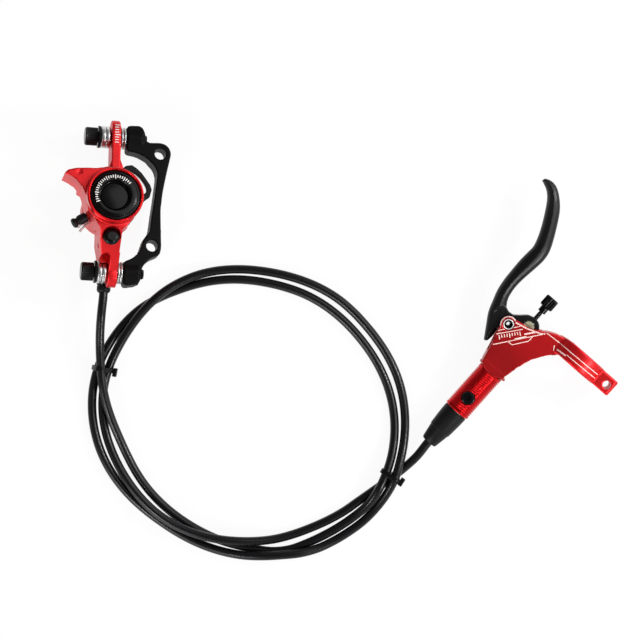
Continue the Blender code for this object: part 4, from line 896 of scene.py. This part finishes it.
PIN_WAY = Vector((-0.694, -0.720, 0.0))
PIN_SIDE = Vector((0.720, -0.694, 0.0))
EYE, EYE_RADIUS = Vector((-6.9, -5.45, 0.0)), 1.3
leg = [EYE + PIN_WAY * reach + PIN_SIDE * off
       for reach, off in ((13.8, 1.0), (11.0, 0.8), (8.8, 0.72), (5.0, 0.72), (2.0, 0.72))]
loop = [EYE - (PIN_WAY * math.cos(turn) + PIN_SIDE * math.sin(turn)) * EYE_RADIUS
        for turn in (math.radians(-140 + 35 * k) for k in range(9))]
back = [EYE + PIN_WAY * reach - PIN_SIDE * off for reach, off in ((2.0, 0.72), (8.8, 0.72), (13.0, 1.1))]
wire("split_pin", flowing(leg + loop + back, 0.4), 0.62, CALIPER, "base", BRIGHT, "pad_split_pin")
print("split pin bent round", len(loop), "points")

# %% [markdown]
# ## The cylinder sleeve
# The sleeve over the master cylinder is turned with fine ribs 1.25 mm apart, which throw a
# row of pink glints. One screw holds it through a round window.

# %% Sleeve, screw and boot
RIB_FROM, RIB_PITCH, RIBS = -7.6, 1.25, 20
cylinder = LEVER @ along((0, 0, 0), (0, 1, 0))
rib = [(6.85, 0.2), (6.85, 0.45), (7.3, 0.62), (7.42, 0.8), (7.42, 1.07), (7.3, 1.25)]
turned = [(6.2, -9.1), (7.1, -9.1), (7.4, -8.7), (7.4, RIB_FROM)]
turned += [(radius, RIB_FROM + RIB_PITCH * k + rise) for k in range(RIBS) for radius, rise in rib]
turned += [(7.4, 18.6), (7.1, 19.0), (6.2, 19.0)]
sleeve = piece("ribbed_sleeve", spun(turned, True, 96), cylinder, "base", RED_TURNED,
               "cylinder_sleeve")
window_line = LEVER @ Matrix.Translation((-0.4, 0.5, 0))
combined(sleeve, "DIFFERENCE", bar(40, 3.9, 4.0, 12.0), window_line)
head = [(0, 5.1), (1.15, 5.1), (1.15, 6.2), (3.5, 6.2), (3.55, 6.9), (3.3, 7.3), (2.8, 7.5), (0, 7.5)]
screw = piece("sleeve_button", spun(head), window_line, "base", OXIDE, "sleeve_screw")
combined(screw, "DIFFERENCE", bar(6, 1.44, 6.6, 9.0), window_line)
boot = [(5.0, -9.6), (6.6, -9.6), (6.9, -9.9), (6.8, -14.0), (6.4, -20.0), (6.15, -22.9),
        (5.8, -23.3), (5.75, -23.8), (5.0, -28.2), (4.5, -31.2), (4.0, -31.9), (2.6, -32.0),
        (2.6, -19.0), (5.0, -17.6)]
piece("rubber_boot", spun(boot, True), cylinder, "base", RUBBER, "hose_boot")
print("ribs on the sleeve:", RIBS)

# %% [markdown]
# ## The hand lever
# The blade is one forging. Its section is a soft-cornered bar that widens, bends and thins
# towards the tip. A ring of vertices is extruded from station to station, and each new ring is
# carried to its place by one matrix, which is how a loft is made with operators.

# %% The blade
LEFT_EDGE = [(-14.4, 29.2), (-18.6, 35.8), (-22.6, 42.2), (-24.9, 48.5), (-26.8, 54.4),
             (-27.8, 61.0), (-28.1, 67.1), (-28.3, 74.0), (-28.0, 80.2), (-27.9, 85.0),
             (-30.4, 92.4), (-34.4, 100.4), (-39.1, 108.1), (-43.0, 111.7), (-47.7, 113.7)]
RIGHT_EDGE = [(-12.7, 30.4), (-12.3, 34.6), (-13.0, 39.5), (-14.3, 45.0), (-16.8, 50.4),
              (-19.2, 54.3), (-20.4, 60.8), (-20.2, 67.5), (-19.1, 76.2), (-18.6, 83.3),
              (-20.3, 90.5), (-27.0, 103.5), (-31.8, 110.3), (-38.4, 115.7), (-43.5, 116.9),
              (-47.2, 115.6)]
PIVOT = Vector((-10.5, 44.5, 0.0))
NUT = Vector((-1.2, 50.5, 0.0))
STATIONS = 44
RIDGE = -0.1
BLADE_HALF = 5.2


def resampled(points, count):
    """A number of evenly spaced points on a smooth curve through the given ones."""
    points = flowing([(x, y, 0.0) for x, y in points], 1.0)
    length = sum((b - a).length for a, b in zip(points, points[1:]))
    return flowing(points, length / (count - 1))


def station(left, right, half):
    """The matrix that carries a unit section between two edge points."""
    side = (right - left) / 2
    up = Vector((0, 0, half))
    return Matrix((side, up.cross(side).normalized(), up)).transposed().to_4x4(), (left + right) / 2


bm = bmesh.new()
bmesh.ops.create_circle(bm, cap_ends=False, radius=1.0, segments=28)
for vertex in bm.verts:
    x, z = vertex.co.x, vertex.co.y
    across, rise = math.copysign(abs(x) ** 0.6, x), math.copysign(abs(z) ** 0.62, z)
    fall = 0.45 * max(0.0, RIDGE - across) if across < RIDGE else 0.22 * (across - RIDGE)
    vertex.co = (across, 0.0, rise * (1.0 - fall))
loop = bm.edges[:]
before = Matrix.Identity(4)
edges = zip(resampled(LEFT_EDGE, STATIONS), resampled(RIGHT_EDGE, STATIONS))
for i, (left, right) in enumerate(edges):
    from_end = min(i, STATIONS - 1 - i) / (STATIONS - 1)
    swell = 0.6 + 4.2 * from_end - 9.0 * from_end ** 2 if from_end < 0.2 else 1.0
    half = BLADE_HALF * min(1.0, swell)
    turn, middle = station(left, right, half)
    here = Matrix.Translation(middle) @ turn
    if i:
        grown = bmesh.ops.extrude_edge_only(bm, edges=loop)["geom"]
        loop = [part for part in grown if isinstance(part, bmesh.types.BMEdge)]
        ring = [part for part in grown if isinstance(part, bmesh.types.BMVert)]
    else:
        ring = bm.verts[:]
    bmesh.ops.transform(bm, matrix=here @ before.inverted(), verts=ring)
    before = here
bmesh.ops.holes_fill(bm, edges=[edge for edge in bm.edges if edge.is_boundary], sides=0)
blade = piece("hand_blade", bm, LEVER, "blade", BLADE, "lever_blade")
print("stations along the blade:", STATIONS)

# %% [markdown]
# Where the blade meets the body it is milled thinner, and a lobe for the cross nut is added.
# The whole is rebuilt in cells to melt the joins, and the holes are bored last, to stay crisp.

# %% The blade's hub
lobe = arc(NUT, 5.7, -75, 105, 20) + [(-5.3, 55.2), (-8.9, 52.0), (-11.5, 49.9), (-14.4, 49.6),
                                      (-19.5, 51.5), (-18.5, 40.0)]
lobe += arc(PIVOT, 6.3, 250, 330, 12) + [(-2.0, 44.0)]
relief = arc(PIVOT, 10.2, 0, 354, 59)
rod_room = [(-3.4, 50.9), (-3.8, 41.5), (1.2, 41.5), (8.2, 46.5), (1.6, 51.5), (1.2, 59.5),
            (-9.6, 59.5), (-9.6, 53.7)]
combined(blade, "DIFFERENCE", solid(relief, 3.9, 12.0), LEVER)
combined(blade, "DIFFERENCE", solid(relief, -12.0, -3.9), LEVER)
combined(blade, "UNION", solid(lobe, -3.8, 3.8), LEVER)
combined(blade, "DIFFERENCE", solid(rod_room, -1.7, 1.7), LEVER)
melted(blade, cell=0.35, rounds=6)
combined(blade, "DIFFERENCE", bar(40, 3.25, -9.0, 9.0), LEVER @ Matrix.Translation(PIVOT))
combined(blade, "DIFFERENCE", bar(40, 3.4, -9.0, 9.0), LEVER @ Matrix.Translation(NUT))
print("blade faces:", len(blade.data.polygons))

# %% [markdown]
# ## Pin, nut and reach screw
# The pivot pin is hollow and bright, and a black ring in its bore is painted shade. The cross
# nut under the red lug is nickel-plated brass with a screwdriver slot. The reach screw turns in
# it, and its fluted knob sets how far the blade stands from the bar.

# %% Pin, nut and knob
pin = [(2.2, -7.0), (2.65, -7.0), (2.95, -6.7), (2.95, 6.7), (2.65, 7.0), (2.45, 7.0), (2.2, 6.7)]
pin_line = LEVER @ Matrix.Translation(PIVOT)
piece("hollow_pin", softened(spun(pin, True), 0.1), pin_line, "blade", BRIGHT, "pivot_pin")
# Painted shade: a black ring set in the hollow pin's bore, where the bore is dark.
shade_ring = [(1.15, -6.4), (2.2, -6.4), (2.2, 6.3), (1.7, 5.6), (1.15, 4.8)]
piece("pin_liner", spun(shade_ring, True), pin_line, "blade", OXIDE)
nut_line = LEVER @ Matrix.Translation(NUT)
nut = [(0, -3.5), (2.8, -3.5), (3.1, -3.2), (3.1, 3.2), (2.8, 3.5), (0, 3.5)]
nut = piece("cross_nut", spun(nut), nut_line, "push_nut", BRASS, "barrel_nut")
slot = [(-5, -0.45), (5, -0.45), (5, 0.45), (-5, 0.45)]
combined(nut, "DIFFERENCE", solid(slot, 2.7, 5.0), nut_line)

KNOB_TURNS, THICK_FROM = 34, 24
knob = [(0, 32.0), (0.9, 32.2), (1.05, 32.8)]
for turn in range(KNOB_TURNS):
    crest = 1.05 if turn < THICK_FROM else 1.3
    knob += [(crest, 33.2 + THREAD_PITCH * turn), (crest - 0.19, 33.6 + THREAD_PITCH * turn)]
knob += [(1.05, 60.6), (1.9, 60.7), (2.25, 61.0), (2.25, 63.8), (2.9, 64.0), (3.4, 64.2),
         (3.75, 64.6), (3.75, 65.0), (3.75, 69.5), (3.75, 69.9), (3.4, 70.4), (2.2, 70.5),
         (2.0, 70.3), (0, 70.3)]
bm = fluted(spun(knob, sides=COLUMNS), (1.0, 0.95, 0.9, 0.95), beyond=3.6)
piece("fluted_knob", bm, LEVER @ along((NUT.x, 0, 0), (0, 1, 0)), "push_rod", OXIDE, "reach_screw")
print("turns of thread on the reach screw:", KNOB_TURNS)

# %% [markdown]
# ## Etched lines and a painted edge highlight on the lever
# The lever's flat face and its clamp carry fine lines that a laser drew: a long one crosses the
# plate with two heavier dashes, and two run on over the clamp. Between them stands a plain row
# of ticks. A pale line along the edge of the lugs, in the same colour, is a painted highlight
# on the bevel.

# %% Etched lines and a painted edge highlight
TOP = 7.42
CLAMP_MIDDLE, CLAMP_RADIUS = 30.0, 15.0
CLAMP_STEPS = 24
PLATE_STROKES = (
    (0.65, [(-8.1, 47.7), (-1.9, 49.2), (5.1, 51.8), (7.4, 53.3)]),
    (0.4, [(-12.0, 36.4), (-3.2, 47.4)]),
    (0.35, [(-12.6, 38.4), (-10.4, 41.2)]),
    (0.35, [(-7.3, 45.0), (-5.2, 47.8)]),
    (0.45, [(-9.6, 31.0), (6.9, 52.9)]),
    (0.8, [(-2.7, 40.9), (0.9, 45.6)]),
    (0.8, [(-0.6, 46.2), (3.0, 50.9)]),
    (0.45, [(-4.8, 37.4), (-1.9, 37.5), (3.3, 44.6), (3.4, 48.0)]),
    (0.45, [(8.0, 54.4), (16.9, 55.0)]),
    (0.4, [(15.2, 52.0), (16.6, 49.9)]),
)
PLATE_TICKS, TICK_PITCH = 9, 1.4


def stroke(bm, points, width, height=TOP):
    """A line of flat bars through points on the lever's flat face."""
    for a, b in zip(points, points[1:]):
        mark(bm, (*a, height), (*b, height), width)


def edge_line(bm, outline, width, inset=0.35, drop=0.25):
    """A painted highlight on the bevel along an outline that runs clockwise, seen from above."""
    for a, b in zip(outline, outline[1:]):
        run = Vector((b[0] - a[0], b[1] - a[1], 0.0)).normalized()
        out = Vector((-run.y, run.x, 0.0))
        lift = Vector((0, 0, TOP - drop)) - out * inset
        mark(bm, Vector((*a, 0)) + lift, Vector((*b, 0)) + lift, width, out + Vector((0, 0, 1)))


def over_clamp(bm, first, last, y_first, y_last, width):
    """A line across the round back of the clamp, along the handlebar's curve."""
    for k in range(CLAMP_STEPS):
        ends = []
        for t in (k / CLAMP_STEPS, (k + 1) / CLAMP_STEPS):
            off = first + (last - first) * t - CLAMP_MIDDLE
            out = Vector((off, 0, math.sqrt(CLAMP_RADIUS ** 2 - off ** 2)))
            middle = Vector((CLAMP_MIDDLE, y_first + (y_last - y_first) * t, 0))
            ends.append((middle + out.normalized() * (CLAMP_RADIUS + 0.02), out))
        mark(bm, ends[0][0], ends[1][0], width, ends[0][1])


bm = bmesh.new()
# Painted highlight: a pale line along the bevel of the lugs' edge.
edge_line(bm, [(-11.8, 36.1), (-12.6, 39.0)] + arc(PIVOT, 4.5, 200, 60, 14), 0.7)
for width, points in PLATE_STROKES:
    stroke(bm, points, width)
along_row = (Vector((-3.2, 47.4)) - Vector((-12.0, 36.4))).normalized()
down = Vector((along_row.y, -along_row.x))
for k in range(PLATE_TICKS):
    at = Vector((-11.0, 36.4)) + along_row * (0.6 + TICK_PITCH * k) + down * 0.25
    stroke(bm, [tuple(at), tuple(at + down * (1.4 if k % LONG_EVERY else 2.0))], MARK_WIDTH)
over_clamp(bm, 17.2, 42.6, 55.0, 55.6, 0.45)
over_clamp(bm, 17.6, 22.4, 51.5, 52.0, 0.8)
over_clamp(bm, 22.8, 42.6, 52.7, 53.2, 0.4)
piece("etched_lines_and_painted_edge_highlight", bm, LEVER, "base", ETCH_AND_EDGE_HIGHLIGHT)
print("lines on the plate:", len(PLATE_STROKES), "and ticks:", PLATE_TICKS)
